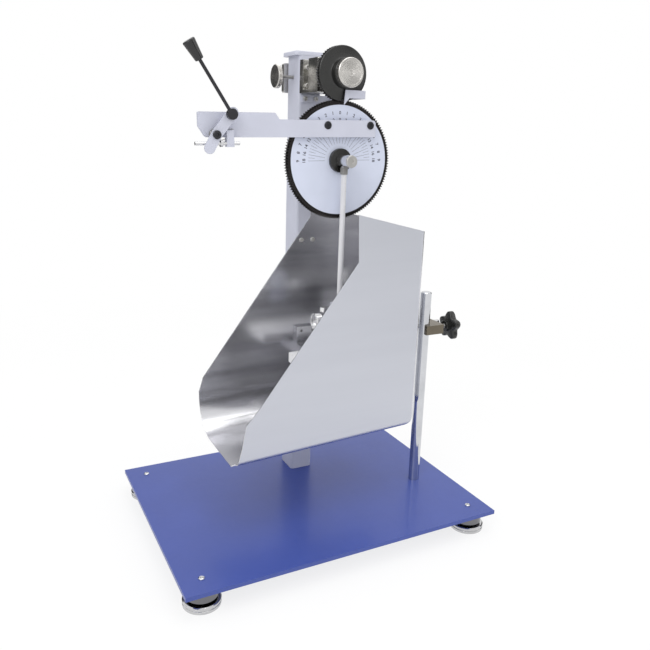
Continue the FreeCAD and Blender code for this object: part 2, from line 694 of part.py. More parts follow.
# pinion shaft with its pinion, hand wheel and knurled disc
wheel_front = S.dial_front - S.wheel_length
shaft = bush("pinion_shaft", "Y", S.shaft_radius, None, wheel_front - S.knurl_thick + 3,
             rear_face + 10 - wheel_front + S.knurl_thick - 3)
place(shaft, column_x, 0, pinion_height)
bore = S.shaft_radius + S.fit_gap / 2
collar = bush("shaft_collar", "Y", S.shaft_collar_radius, bore, rear_face + S.seat_gap,
              S.shaft_collar_thick)
place(collar, column_x, 0, pinion_height)
spacer = bush("pinion_spacer", "Y", S.bush_radius, bore, dial_back, bracket_front - S.seat_gap - dial_back)
place(spacer, column_x, 0, pinion_height)
wheel = turned("hand_wheel", "Y", [
    (bore, S.dial_front), (S.wheel_radius, S.dial_front),
    (S.wheel_radius, S.dial_front - S.wheel_flange, 3),
    (S.wheel_neck, S.dial_front - S.wheel_flange - 2, 3), (S.wheel_neck, wheel_front, 1.5),
    (bore, wheel_front)])
place(wheel, column_x, 0, pinion_height)
knurl = turned("knurled_disc", "Y", [
    (bore, wheel_front), (S.knurl_radius, wheel_front, 1),
    (S.knurl_radius, wheel_front - S.knurl_thick, 1.2),
    (0, wheel_front - S.knurl_thick), (0, wheel_front - S.knurl_thick + 2.5),
    (bore, wheel_front - S.knurl_thick + 2.5)])
place(knurl, column_x, 0, pinion_height)

# lock knob, screwed through the column wall on to the shaft
lock_out = column_x - half_width - S.lock_reach
lock_tip = column_x - S.shaft_radius - S.fit_gap * 2
lock = turned("lock_knob", "X", [
    (0, lock_out), (S.lock_disc_radius, lock_out, 1), (S.lock_disc_radius, lock_out + S.lock_disc_thick, 1),
    (S.lock_screw_radius + 3, lock_out + S.lock_disc_thick),
    (S.lock_screw_radius + 3, lock_out + S.lock_disc_thick + 4),
    (S.lock_screw_radius, lock_out + S.lock_disc_thick + 4), (S.lock_screw_radius, lock_tip),
    (0, lock_tip)])
place(lock, 0, column_middle, pinion_height)

# spindle housing and fixed spindle of the dial
housing_front = dial_back + S.dial_nut_thick + S.seat_gap
housing = prism("spindle_housing", "Y", [box_corners(
    column_x - half_width, column_x + half_width, S.hub_height - S.housing_height / 2,
    S.hub_height + S.housing_height / 2, 3)],
    S.column_front - S.housing_flange, S.housing_flange)
add(housing, "Y", [(column_x, S.hub_height, S.housing_radius)], housing_front,
    S.column_front - housing_front)
cut(housing, "Y", [(column_x, S.hub_height, S.spindle_radius + S.fit_gap)], housing_front,
    S.column_front - housing_front)
cut(housing, "Y", with_radius(housing_spots, S.flange_screw_radius + S.fit_gap),
    S.column_front - S.housing_flange, S.housing_flange)
flange_rods += screw_rods("flange_screw", "Y", housing_spots, S.column_front - S.housing_flange,
                          S.flange_screw_head, S.flange_head_height,
       S.flange_screw_radius, S.housing_flange + wall + S.screw_past)
journal_front = hub_front - S.seat_gap * 2 - S.pendulum_hub_length - S.seat_gap
spindle = turned("spindle", "Y", [
    (0, journal_front), (S.journal_radius, journal_front), (S.journal_radius, hub_front - S.seat_gap),
    (S.spindle_radius, hub_front - S.seat_gap),
    (S.spindle_radius, column_back + S.spindle_nut_thick + 3, 1),
    (0, column_back + S.spindle_nut_thick + 3)])
place(spindle, column_x, 0, S.hub_height)
end_screw = turned("spindle_end_screw", "Y", [
    (0, journal_front), (S.end_screw_head, journal_front),
    (S.end_screw_head, journal_front - S.end_screw_thick, 1),
    (0, journal_front - S.end_screw_thick)])
place(end_screw, column_x, 0, S.hub_height)
spindle_nut = prism("spindle_nut", "Y", [
    [(S.spindle_nut_radius * cosine(60 * k), S.spindle_nut_radius * sine(60 * k)) for k in range(6)],
    (0, 0, S.spindle_radius + S.fit_gap / 2)], column_back, S.spindle_nut_thick)
place(spindle_nut, column_x, 0, S.hub_height)

# toothed dial: blank, one tooth gap, and the gap repeated round the rim
arm_spots = [(S.arm_screw_left, S.arm_screw_up), (S.arm_screw_right, S.arm_screw_up)]
arm_holes = with_radius(arm_spots, S.arm_screw_radius + S.fit_gap)
face_front = S.dial_front + S.face_thick


def teeth(body, teeth_count, phase, start, length):
    """Cut straight-flanked tooth gaps round a blank, with some backlash."""
    root = S.tooth_module * (teeth_count / 2 - 1.25)
    tip = S.tooth_module * (teeth_count / 2 + 1.6)
    half_root = S.tooth_module * 0.44
    half_tip = S.tooth_module * 1.95
    sketch = new_sketch(body, body.Label + "_gap", "Y", start)
    draw_outline(sketch, [(-half_root, root * phase), (half_root, root * phase), (half_tip, tip * phase),
                          (-half_tip, tip * phase)])
    gap = body.newObject("PartDesign::Pocket", body.Label + "_gap_pocket")
    gap.Profile = sketch
    gap.Reversed = False
    bind(gap, "Length", length)
    ring = body.newObject("PartDesign::PolarPattern", body.Label + "_teeth")
    ring.Originals = [gap]
    ring.Axis = ([f for f in body.Origin.OriginFeatures if f.Role == "Y_Axis"][0], [""])
    ring.Angle = 360
    bind(ring, "Occurrences", teeth_count)
    body.Tip = ring


dial = turned("dial_gear", "Y", [
    (S.barrel_radius + S.fit_gap / 2, face_front), (S.face_radius + S.fit_gap * 2, face_front),
    (S.face_radius + S.fit_gap * 2, S.dial_front), (S.tooth_module * (S.dial_teeth / 2 + 1), S.dial_front),
    (S.tooth_module * (S.dial_teeth / 2 + 1), dial_back), (S.rim_inside, dial_back),
    (S.rim_inside, face_front + S.dial_web), (S.dial_nut_radius + 2, face_front + S.dial_web),
    (S.dial_nut_radius + 2, dial_back), (S.barrel_radius + S.fit_gap / 2, dial_back)])
cut(dial, "Y", arm_holes, face_front, S.dial_web)
teeth(dial, S.dial_teeth, 1, S.dial_front, S.gear_width)
on_dial(dial)
face = prism("dial_face", "Y", [(0, 0, S.face_radius),
                                (0, 0, S.barrel_radius + S.fit_gap / 2)] + arm_holes, S.dial_front,
                                S.face_thick)
on_dial(face)
boss = turned("dial_boss", "Y", [
    (S.spindle_radius + S.fit_gap, hub_front), (S.boss_radius, hub_front, 1), (S.boss_radius, S.dial_front),
    (S.barrel_radius, S.dial_front), (S.barrel_radius, dial_back + S.dial_nut_thick),
    (S.spindle_radius + S.fit_gap, dial_back + S.dial_nut_thick)])
on_dial(boss)
dial_nut = turned("dial_ring_nut", "Y", [
    (S.barrel_radius + S.fit_gap / 2, dial_back), (S.dial_nut_radius, dial_back),
    (S.dial_nut_radius, dial_back + S.dial_nut_thick, 1),
    (S.barrel_radius + S.fit_gap / 2, dial_back + S.dial_nut_thick)])
on_dial(dial_nut)

# pinion: the blank is cut so that a tooth stands where the dial has a gap
pinion = bush("pinion_gear", "Y", S.tooth_module * (S.pinion_teeth / 2 + 1), bore, S.dial_front,
              S.gear_width)
teeth(pinion, S.pinion_teeth, 1, S.dial_front, S.gear_width)
half_pitch = 180 / S.pinion_teeth
place(pinion, column_x, 0, pinion_height, V(0, 1, 0),
      half_pitch - S.arm_tilt * S.dial_teeth / S.pinion_teeth)

# release arm on two spacers in front of the dial
arm_low = S.arm_low
arm = prism("arm_plate", "Y", [
    [(S.arm_right, arm_low, 2), (S.arm_right, arm_low + S.arm_height, S.arm_bend),
     (-S.arm_step, arm_low + S.arm_height, 2),
     (-S.arm_step - 6, arm_low + S.arm_height + S.arm_rise, 3),
     (-S.arm_left, arm_low + S.arm_height + S.arm_rise, 2),
     (-S.arm_left, arm_low + 14, 4), (-S.arm_left + 9, arm_low, 6)]] + arm_holes
    + [(-S.pivot_left, S.pivot_up, S.arm_screw_radius + S.fit_gap)], arm_front, S.arm_thick)
on_dial(arm)
rings = []
for x, z in arm_spots:
    rings.append(prism("arm_ring", "Y", [(x, z, S.spacer_radius), (x, z, S.arm_screw_radius + S.fit_gap)],
                       arm_back, S.arm_gap))
on_dial(fused("arm_spacers", rings))
arm_screws = fused("arm_screws", screw_rods("arm_screw", "Y", arm_spots, arm_front, S.arm_screw_head,
                                            S.arm_head_height,
                                            S.arm_screw_radius,
                                            S.arm_thick + S.arm_gap + S.face_thick + S.dial_web))
on_dial(arm_screws)

# latch: a link on a boss, a lever on the link, and a sliding pin behind it
boss_front = arm_front - S.pivot_boss_length
link_front = boss_front - S.link_thick
pivot = bush("latch_pivot_boss", "Y", S.pivot_boss_radius, S.arm_screw_radius + S.fit_gap, boss_front,
             S.pivot_boss_length)
on_dial(pivot, -S.pivot_left, S.pivot_up)


def bar_corners(x0, z0, x1, z1, half):
    """Outline of a bar with round ends between two centres."""
    run = math.hypot(number(x1) - number(x0), number(z1) - number(z0))
    run_q = Formula(run, "sqrt((%s)^2 + (%s)^2)" % (written(x1 - x0), written(z1 - z0)))
    ux, uz = (x1 - x0) / run_q, (z1 - z0) / run_q
    nx, nz = -uz, ux
    keep = half * 0.999
    return [(x0 - ux * half - nx * half, z0 - uz * half - nz * half, keep),
            (x1 + ux * half - nx * half, z1 + uz * half - nz * half, keep),
            (x1 + ux * half + nx * half, z1 + uz * half + nz * half, keep),
            (x0 - ux * half + nx * half, z0 - uz * half + nz * half, keep)]


zero = Formula(0, "0")
link = new_body("latch_link")
add(link, "Y", [bar_corners(zero, zero, S.link_up_x, S.link_up_z, S.link_half)], link_front, S.link_thick)
add(link, "Y", [bar_corners(zero, zero, -S.link_down_x, -S.link_down_z, S.link_half)], link_front,
    S.link_thick)
cut(link, "Y", [(0, 0, S.arm_screw_radius + S.fit_gap)], link_front, S.link_thick)
on_dial(link, -S.pivot_left, S.pivot_up)
screw_seat = link_front - S.seat_gap
pivot_screw = turned("latch_pivot_screw", "Y", [
    (0, screw_seat - 3), (S.arm_screw_head, screw_seat - 3, 1), (S.arm_screw_head, screw_seat),
    (S.arm_screw_radius, screw_seat), (S.arm_screw_radius, arm_back), (0, arm_back)])
on_dial(pivot_screw, -S.pivot_left, S.pivot_up)

pin_tip = -S.arm_left - S.pin_reach
pin = bush("latch_pin", "X", S.pin_radius, None, 0, S.pin_length)
add(pin, "X", [(0, 0, S.pin_collar_radius)], S.pin_collar_from_tip, S.pin_collar_thick)
at_x, at_z = in_arm(pin_tip, S.pin_up)
place(pin, at_x, S.pendulum_plane, at_z, V(0, 1, 0), S.arm_tilt)
guide_left = pin_tip + S.guide_from_tip
guide = prism("pin_guide", "Z", [box_corners(guide_left, guide_left + S.guide_width,
                                             boss_front + S.seat_gap, arm_front)],
              arm_low - S.guide_drop, S.guide_drop + S.guide_grip)
cut(guide, "X", [(S.pendulum_plane, S.pin_up, S.pin_radius + S.fit_gap)], guide_left, S.guide_width)
on_dial(guide)

lever_x, lever_z = S.link_up_x - 3, S.link_up_z - 2
lever_mid = link_front - S.lever_boss_length / 2
lever_boss = bush("lever_boss", "Y", S.lever_boss_radius, None, link_front - S.lever_boss_length,
                  S.lever_boss_length)
on_dial(lever_boss, -S.pivot_left + lever_x, S.pivot_up + lever_z)
rod_from = in_arm(-S.pivot_left + lever_x, S.pivot_up + lever_z)
lean = S.arm_tilt - S.lever_lean
lever_bar = bush("lever_bar", "Z", S.lever_radius, None, 0, S.grip_start)
place(lever_bar, rod_from[0], lever_mid, rod_from[1], V(0, 1, 0), lean)
fused("lever_rod", [lever_boss, lever_bar])
grip = turned("lever_grip", "Z", [
    (0, S.grip_start + 0.05), (S.grip_small, S.grip_start + 0.05, 1.5),
    (S.grip_large, S.grip_start + S.grip_length, 2),
    (0, S.grip_start + S.grip_length)])
place(grip, rod_from[0], lever_mid, rod_from[1], V(0, 1, 0), lean)
spring = prism("latch_spring", "Y", [(0, 0, S.spring_outside), (0, 0, S.pivot_boss_radius + 0.2)],
               boss_front + 2, S.pivot_boss_length - 3)
add(spring, "Y", [box_corners(0, S.spring_leg_x, S.spring_outside - S.spring_wire, S.spring_outside - 0.1)],
    arm_front - 1 - S.spring_wire, S.spring_wire)
on_dial(spring, -S.pivot_left, S.pivot_up)

# pendulum, free on the front journal
hub = bush("pendulum_hub", "Y", S.pendulum_hub_radius, S.journal_radius + S.fit_gap,
           hub_front - S.seat_gap * 2 - S.pendulum_hub_length, S.pendulum_hub_length)
cut(hub, "Z", [(0, S.pendulum_plane, S.rod_radius + S.fit_gap / 2)], -S.pendulum_hub_radius,
    S.pendulum_hub_radius - S.journal_radius - 1)
place(hub, column_x, 0, S.hub_height)
rod_nut = bush("rod_lock_nut", "Z", S.rod_nut_radius, S.rod_radius + S.fit_gap / 2,
               -S.pendulum_hub_radius - S.rod_nut_height - 0.1, S.rod_nut_height)
place(rod_nut, column_x, S.pendulum_plane, S.hub_height)
rod_top = -(S.journal_radius + 1.1)
rod_low = -(S.hammer_drop + S.rod_seat)
rod = bush("pendulum_rod", "Z", S.rod_radius, None, rod_low, rod_top - rod_low)
place(rod, column_x, S.pendulum_plane, S.hub_height)
hammer_top = S.hub_height - S.hammer_drop
hammer_left = column_x - S.hammer_width / 2
hammer_right = column_x + S.hammer_width / 2
hammer_back = S.pendulum_plane + S.hammer_depth / 2
hammer = prism("hammer_block", "Z", [
    box_corners(hammer_left, hammer_right, S.pendulum_plane - S.hammer_depth / 2, hammer_back, 1)],
    hammer_top - S.hammer_height, S.hammer_height)
striker_z = S.hub_height - S.striker_drop
cut(hammer, "Z", [(column_x, S.pendulum_plane, S.rod_radius + S.fit_gap / 2)], hammer_top - S.rod_seat,
    S.rod_seat)
cut(hammer, "X", [(S.pendulum_plane, striker_z, S.striker_radius + S.fit_gap / 2)], hammer_left,
    S.hammer_width)
cut(hammer, "X", [(S.pendulum_plane, hammer_top - S.eye_height / 2, S.eye_shank + S.fit_gap / 2)],
    hammer_left, 6)
eye_x = column_x - S.eye_reach
eye_ring = prism("eye_ring", "Z", [(0, 0, S.eye_radius), (0, 0, S.eye_hole)], -S.eye_height, S.eye_height)
place(eye_ring, eye_x, S.pendulum_plane, hammer_top)
eye_start = eye_x + (S.eye_hole + S.eye_radius) / 2
eye_shank = bush("eye_shank", "X", S.eye_shank, None, eye_start, hammer_left + 5.5 - eye_start)
place(eye_shank, 0, S.pendulum_plane, hammer_top - S.eye_height / 2)
fused("catch_eye", [eye_ring, eye_shank])
striker = bush("striker_bar", "X", S.striker_radius, None, hammer_left - S.tail_gap,
               S.tail_gap + S.hammer_width + S.nose_gap)
place(striker, 0, S.pendulum_plane, striker_z)
tail_right = hammer_left - S.tail_gap
tail = turned("striker_tail", "X", [
    (0, tail_right - S.tail_thick), (S.tail_radius, tail_right - S.tail_thick, 1),
    (S.tail_radius, tail_right, 1), (0, tail_right)])
place(tail, 0, S.pendulum_plane, striker_z)
nose_left = hammer_right + S.nose_gap
nose = turned("striker_nose", "X", [
    (0, nose_left), (S.nose_radius, nose_left, 0.8), (S.nose_radius, nose_left + S.nose_length, 7),
    (0, nose_left + S.nose_length)])
place(nose, 0, S.pendulum_plane, striker_z)
striker_nut = prism("striker_nut", "X", [
    [(S.striker_nut_radius * cosine(60 * k), S.striker_nut_radius * sine(60 * k)) for k in range(6)],
    (0, 0, S.striker_radius + S.fit_gap / 2)], hammer_right, S.striker_nut_thick)
place(striker_nut, 0, S.pendulum_plane, striker_z)

# guard: a tray bent from sheet, cut to its outline at the front and at the back
sheet_thick = S.sheet_thick
slope = tangent(S.guard_slope)
far_left = -S.guard_left_back - 20
far_top = guard_top + 60
back_face = S.column_front


def low_at(x):
    """Height of the sloping bottom at a place along X."""
    return guard_low + (x + S.guard_left_front) * slope


def tray(label, inset):
    """The filled tray, smaller all round by the inset."""
    right = S.guard_right - inset
    front_view = prism(label + "_front", "Y", [[
        (far_left, low_at(far_left) + inset), (right, low_at(right) + inset, S.guard_bend_side - inset),
        (right, far_top), (far_left, far_top)]], -S.guard_front + inset,
        S.guard_front + back_face - inset * 2)
    side_view = prism(label + "_side", "X", [[
        (-S.guard_front + inset, as_formula(inset), S.guard_bend_front - inset),
        (back_face - inset, as_formula(inset), S.guard_bend_back - inset),
        (back_face - inset, far_top), (-S.guard_front + inset, far_top)]], -400, 800)
    place(side_view, -S.guard_left_front, 0, guard_low, V(0, 1, 0), -S.guard_slope)
    top_view = prism(label + "_top", "Z", [[
        (far_left, -S.guard_front + inset), (right, -S.guard_front + inset, S.guard_bend_front - inset),
        (right, back_face - inset), (far_left, back_face - inset)]], 0, 800)
    common = doc.addObject("Part::MultiCommon", label)
    common.Shapes = [front_view, side_view, top_view]
    common.Refine = False
    return common


neck_z = guard_top
fall = tangent(S.guard_top_fall)
top_right_z = neck_z - (S.guard_right + 6 - S.guard_neck) * fall
waste_front = prism("guard_waste_front", "Y", [[
    (-S.guard_left_front, guard_low - 40), (-S.guard_left_front, guard_low),
    (-S.guard_left_front + 7, guard_low + 27),
    (-S.guard_left_front + 13.6, guard_low + 61), (-S.guard_left_front + 34.7, guard_low + 85.6),
    (S.guard_neck + 3.5, guard_top - 68), (S.guard_neck, guard_top), (S.guard_right + 6, top_right_z),
    (S.guard_right + 6, far_top + 20), (far_left - 20, far_top + 20), (far_left - 20, guard_low - 40)]],
    -S.guard_front - 5, 5 + S.guard_bend_front)
waste_back = prism("guard_waste_back", "Y", [[
    (-S.guard_left_back, guard_low - 40), (-S.guard_left_back, guard_low + 60, 5),
    (-S.guard_left_back + 6.8, guard_low + 82),
    (S.guard_neck, guard_top - 21.4), (S.guard_neck, guard_top), (S.guard_right + 6, top_right_z),
    (S.guard_right + 6, far_top + 20), (far_left - 20, far_top + 20), (far_left - 20, guard_low - 40)]],
    -S.guard_front + S.guard_bend_front, S.guard_front - S.guard_bend_front + back_face + 5)
slot = prism("guard_slot", "X", [box_corners(
    S.stop_rod_y - S.slot_half, S.stop_rod_y + S.slot_half, slot_low - S.slot_half,
    slot_high + S.slot_half, S.slot_half * 0.999)],
    S.guard_right - 10, 20)
holder_rows = (platform_low - S.holder_row_low, platform_top + S.holder_row_high)
holder_spots = [(column_x + S.guard_pitch * k / 2, h) for h in holder_rows for k in (-1, 1)]
panel_holes = with_radius(guard_spots + holder_spots, S.flange_screw_radius + S.fit_gap)
hole_tools = prism("guard_holes", "Y", panel_holes, back_face - S.cut_past, S.cut_past * 2)
hollow = tray("guard_inside", sheet_thick)
solid = tray("guard_outside", Formula(0, "0"))
shell = doc.addObject("Part::Cut", "guard_tray")
shell.Base = solid
shell.Tool = hollow
waste = doc.addObject("Part::MultiFuse", "guard_waste")
waste.Shapes = [waste_front, waste_back]
trimmed = doc.addObject("Part::Cut", "guard_trimmed")
trimmed.Base = shell
trimmed.Tool = waste
slotted = doc.addObject("Part::Cut", "guard_slotted")
slotted.Base = trimmed
slotted.Tool = slot
guard = doc.addObject("Part::Cut", "guard")
guard.Base = slotted
guard.Tool = hole_tools
guard.Label = "guard"
panel_front = back_face - sheet_thick
flange_rods += screw_rods("flange_screw", "Y", guard_spots, panel_front, S.flange_screw_head,
                          S.flange_head_flat,
                          S.flange_screw_radius, sheet_thick + wall + S.screw_past)

# bottle platform on a bracket with a tongue
platform_back = S.platform_front + S.platform_depth
platform = prism("bottle_platform", "Z", [
    box_corners(S.platform_left, S.platform_left + S.platform_width, S.platform_front, platform_back, 2)],
    platform_low, S.platform_thick)
holder_front = panel_front - S.platform_flange
holder = prism("platform_bracket", "X", [[
    (platform_back - S.tongue_reach, platform_low - S.tongue_thick),
    (holder_front, platform_low - S.tongue_thick),
    (holder_front, platform_low - S.holder_drop), (panel_front, platform_low - S.holder_drop),
    (panel_front, platform_top + S.holder_rise), (holder_front, platform_top + S.holder_rise),
    (holder_front, platform_top - S.holder_lip), (platform_back, platform_top - S.holder_lip),
    (platform_back, platform_low), (platform_back - S.tongue_reach, platform_low)]],
    column_x - S.holder_width / 2, S.holder_width)
cut(holder, "Y", with_radius(holder_spots, S.flange_screw_radius + S.fit_gap), holder_front,
    S.platform_flange)
flange_rods += screw_rods("flange_screw", "Y", holder_spots, holder_front, S.flange_screw_head,
                          S.flange_head_height,
                          S.flange_screw_radius, S.platform_flange + sheet_thick + wall + S.screw_past)

# post with the clamp and the back stop
thread_bore = S.anchor_screw_radius + S.fit_gap
bore_top = plate_top + S.base_thread + S.base_bore_spare
post = turned("post", "Z", [
    (thread_bore, plate_top), (S.post_radius, plate_top),
    (S.post_radius, plate_top + post_length - S.post_chamfer),
    (S.post_radius - S.post_chamfer, plate_top + post_length), (0, plate_top + post_length),
    (0, bore_top), (thread_bore, bore_top)])
place(post, post_x, S.post_y, 0)
base_rods += screw_rods("base_screw", "Z", [(post_x, S.post_y)], plate_low, S.base_head_radius,
                        S.base_head_height,
                        S.anchor_screw_radius, base_shank)
fused("base_screws", base_rods)
clamp_low = clamp_height - S.clamp_thick / 2
clamp_right = clamp_left + S.clamp_width
clamp = prism("clamp_block", "Z", [box_corners(clamp_left, clamp_right, S.clamp_front,
                                               S.clamp_front + S.clamp_depth)], clamp_low, S.clamp_thick)
cut(clamp, "Z", [(post_x, S.post_y, S.post_radius + S.fit_gap)], clamp_low, S.clamp_thick)
cut(clamp, "X", [(S.stop_rod_y, clamp_height, S.stop_rod_radius + S.fit_gap)], clamp_left, S.clamp_width)
cut(clamp, "X", [(S.post_y, clamp_height, S.knob_screw_radius + S.fit_gap)], post_x, clamp_right - post_x)
knob_left = clamp_right + S.knob_stand
knob_screw_left = post_x + S.post_radius + S.fit_gap * 2
knob_screw = bush("star_knob_screw", "X", S.knob_screw_radius, None, knob_screw_left,
                  knob_left - knob_screw_left)
place(knob_screw, 0, S.post_y, clamp_height)
neck_left = clamp_right + S.seat_gap
star = bush("star_knob", "X", S.knob_waist, None, knob_left, S.knob_thick)
add(star, "X", [(0, 0, S.knob_neck_radius)], neck_left, knob_left - neck_left)
cut(star, "X", [(0, 0, S.knob_screw_radius + S.fit_gap / 2)], neck_left, knob_left - neck_left)
lobe_reach = S.knob_radius - S.knob_lobe
add(star, "X", [(0, lobe_reach, S.knob_lobe)], knob_left, S.knob_thick)
lobe = star.Tip
lobes = star.newObject("PartDesign::PolarPattern", "star_knob_lobes")
lobes.Originals = [lobe]
lobes.Axis = ([f for f in star.Origin.OriginFeatures if f.Role == "X_Axis"][0], [""])
lobes.Angle = 360
lobes.Occurrences = 5
star.Tip = lobes
place(star, 0, S.post_y, clamp_height)
stop_rod = bush("stop_rod", "X", S.stop_rod_radius, None, stop_rod_left, stop_rod_right - stop_rod_left)
place(stop_rod, 0, S.stop_rod_y, clamp_height)
vee_left = stop_rod_left - S.vee_width
vee = prism("back_stop_block", "Z", [[
    (vee_left, S.stop_rod_y - S.vee_depth / 2), (stop_rod_left, S.stop_rod_y - S.vee_depth / 2),
    (stop_rod_left, S.stop_rod_y + S.vee_depth / 2), (vee_left, S.stop_rod_y + S.vee_depth / 2),
    (vee_left + S.vee_cut, S.stop_rod_y + zero)]], clamp_height - S.vee_height / 2, S.vee_height)

# fixed pointer on a strip that passes over the dial and under the pinion
strip_inner = S.strip_side - S.strip_thick
foot_back = S.column_front - S.strip_thick
strip = prism("pointer_strip", "Z", [[
    (column_x - 14, foot_back), (strip_inner, foot_back), (strip_inner, S.pointer_front + S.strip_thick),
    (column_x + 6, S.pointer_front + S.strip_thick), (column_x + 6, S.pointer_front),
    (S.strip_side, S.pointer_front, 2.5),
    (S.strip_side, S.column_front, 2.5), (column_x - 14, S.column_front)]],
    strip_low - S.pointer_foot_drop, S.strip_height + S.pointer_foot_drop)
cut(strip, "Y", [box_corners(column_x - 30, strip_inner - 8,
                             strip_low + S.strip_height - S.pointer_foot_drop,
                             strip_low + S.strip_height + 5)],
    S.column_front - 12, 20)
cut(strip, "Y", [box_corners(column_x - 30, S.strip_side + 5, strip_low - S.pointer_foot_drop - 5,
                             strip_low)],
    S.pointer_front - 5, S.column_front - S.pointer_front - 8)
strip_spots = [(column_x + k, strip_low + 1.5) for k in (-9, 9)]
cut(strip, "Y", with_radius(strip_spots, S.flange_screw_radius + S.fit_gap), foot_back - 3, 8)
cut(column, "Y", with_radius(strip_spots + holder_spots, S.flange_screw_radius + S.fit_gap),
    S.column_front, wall)
flange_rods += screw_rods("flange_screw", "Y", strip_spots, foot_back, S.flange_screw_head,
                          S.flange_head_flat,
                          S.flange_screw_radius, S.strip_thick + wall + S.screw_past)
pointer = prism("pointer", "Y", [[
    (column_x, pointer_tip), (column_x + 8, strip_low), (S.strip_side - 3, strip_low),
    (S.strip_side - 3, strip_low + S.strip_height),
    (column_x + 1.5, strip_low + S.strip_height)]], S.pointer_front - S.strip_thick, S.strip_thick)
fused("flange_screws", flange_rods)

doc.recompute()

NODES = [
    "base_plate", "foot_bodies", "foot_screws", "base_screws", "flange_screws", "column", "column_cap",
    "column_anchor",
    "bearing_bracket", "rear_bearing_plate", "pinion_shaft", "shaft_collar", "pinion_spacer", "pinion_gear",
    "hand_wheel", "knurled_disc", "lock_knob", "spindle_housing", "spindle", "spindle_end_screw",
    "spindle_nut",
    "dial_gear", "dial_face", "dial_boss", "dial_ring_nut", "arm_plate", "arm_spacers", "arm_screws",
    "latch_pivot_boss", "latch_link", "latch_pivot_screw", "latch_pin", "pin_guide", "lever_rod",
    "lever_grip",
    "latch_spring", "pendulum_hub", "rod_lock_nut", "pendulum_rod", "hammer_block", "catch_eye",
    "striker_bar",
    "striker_tail", "striker_nose", "striker_nut", "guard", "bottle_platform", "platform_bracket", "post",
    "clamp_block", "star_knob", "star_knob_screw", "stop_rod", "back_stop_block", "pointer_strip",
    "pointer",
]
NODES += ["foot_pad_" + name for name in corner_names]
by_label = {obj.Label: obj for obj in doc.Objects}
for obj in doc.Objects:
    bad = [word for word in obj.State if word in ("Invalid", "Error")]
    if bad:
        raise RuntimeError("%s: %s" % (obj.Label, bad))
for body, pocket in cuts:
    before = pocket.BaseFeature.Shape.Volume
    if not pocket.Shape.Volume < before:
        raise RuntimeError("%s cuts nothing" % pocket.Label)
for name in NODES:
    shape = by_label[name].Shape
    if shape.isNull() or not shape.isValid() or not shape.Solids:
        raise RuntimeError("%s is not a sound solid" % name)
os.makedirs("parts", exist_ok=True)
for name in NODES:
    by_label[name].Shape.exportStep("parts/%s.step" % name)
print(len(NODES), "pieces written")
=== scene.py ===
import math

import bmesh
import bpy
from mathutils import Matrix, Vector


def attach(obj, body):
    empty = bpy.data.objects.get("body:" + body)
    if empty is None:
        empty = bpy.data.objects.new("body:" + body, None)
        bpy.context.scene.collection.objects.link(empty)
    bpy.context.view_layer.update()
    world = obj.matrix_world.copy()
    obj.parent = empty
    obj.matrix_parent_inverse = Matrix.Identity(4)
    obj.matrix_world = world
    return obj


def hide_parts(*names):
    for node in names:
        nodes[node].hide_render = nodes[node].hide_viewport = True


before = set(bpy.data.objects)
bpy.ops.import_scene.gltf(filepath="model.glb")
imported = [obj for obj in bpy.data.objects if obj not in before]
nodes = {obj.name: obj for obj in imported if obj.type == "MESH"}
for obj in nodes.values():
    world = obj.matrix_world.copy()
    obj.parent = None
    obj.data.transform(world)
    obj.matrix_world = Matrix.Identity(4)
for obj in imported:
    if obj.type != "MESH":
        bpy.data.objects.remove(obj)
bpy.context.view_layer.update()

scene = bpy.context.scene

# places in the part, in millimetres from the middle of the floor under the plate
MM = 0.001
PLATE_LOW, PLATE_TOP = 30.0, 36.0
FOOT_X, FOOT_Y = 220.0, 155.0
STUD = 8.0                       # radius of a foot's stud
COLUMN_FRONT = 72.0
HUB_X, HUB_Z = 31.5, 570.0       # column, spindle and dial
PINION_Z = 688.75
LOCK_Y = 94.0                    # lock knob, in the column's side
SWING_Y = -45.0                  # plane in which the pendulum swings
DIAL_FRONT = -30.0
WHEEL_FRONT = -48.0
ARM_FRONT = -39.0
ARM_TILT = math.radians(-1.5)
PIVOT_X, PIVOT_Z = -189.5, 36.0  # latch pivot from the hub, before the tilt
POST_X, POST_Y = 191.5, -43.0
CLAMP_Z = 305.0
STOP_ROD_Y = -20.0
STRIKER_Z = 336.0


# camera, from the fitted view of the photograph
def make_camera():
    frame_width = 650            # pixels, as are the focal length and the shifts
    focal, shift_right, shift_up = 682.4, -5.0, -14.6
    place = Vector((-447.3, -914.8, 608.1)) * MM
    azimuth, elevation, roll = (math.radians(a) for a in (28.06, 14.58, 1.93))
    data = bpy.data.cameras.new("camera")
    data.sensor_width = 36
    data.lens = 36 * focal / frame_width
    data.shift_x = shift_right / frame_width
    data.shift_y = shift_up / frame_width
    data.clip_start, data.clip_end = 0.01, 50
    level_part = math.cos(elevation)
    forward = Vector((math.sin(azimuth) * level_part, math.cos(azimuth) * level_part, -math.sin(elevation)))
    level = Vector((math.cos(azimuth), -math.sin(azimuth), 0))
    upright = level.cross(forward)
    right = level * math.cos(roll) + upright * math.sin(roll)
    up = -level * math.sin(roll) + upright * math.cos(roll)
    turn = Matrix((right, up, -forward)).transposed().to_4x4()
    camera = bpy.data.objects.new("camera", data)
    scene.collection.objects.link(camera)
    camera.matrix_world = Matrix.Translation(place) @ turn
    scene.camera = camera


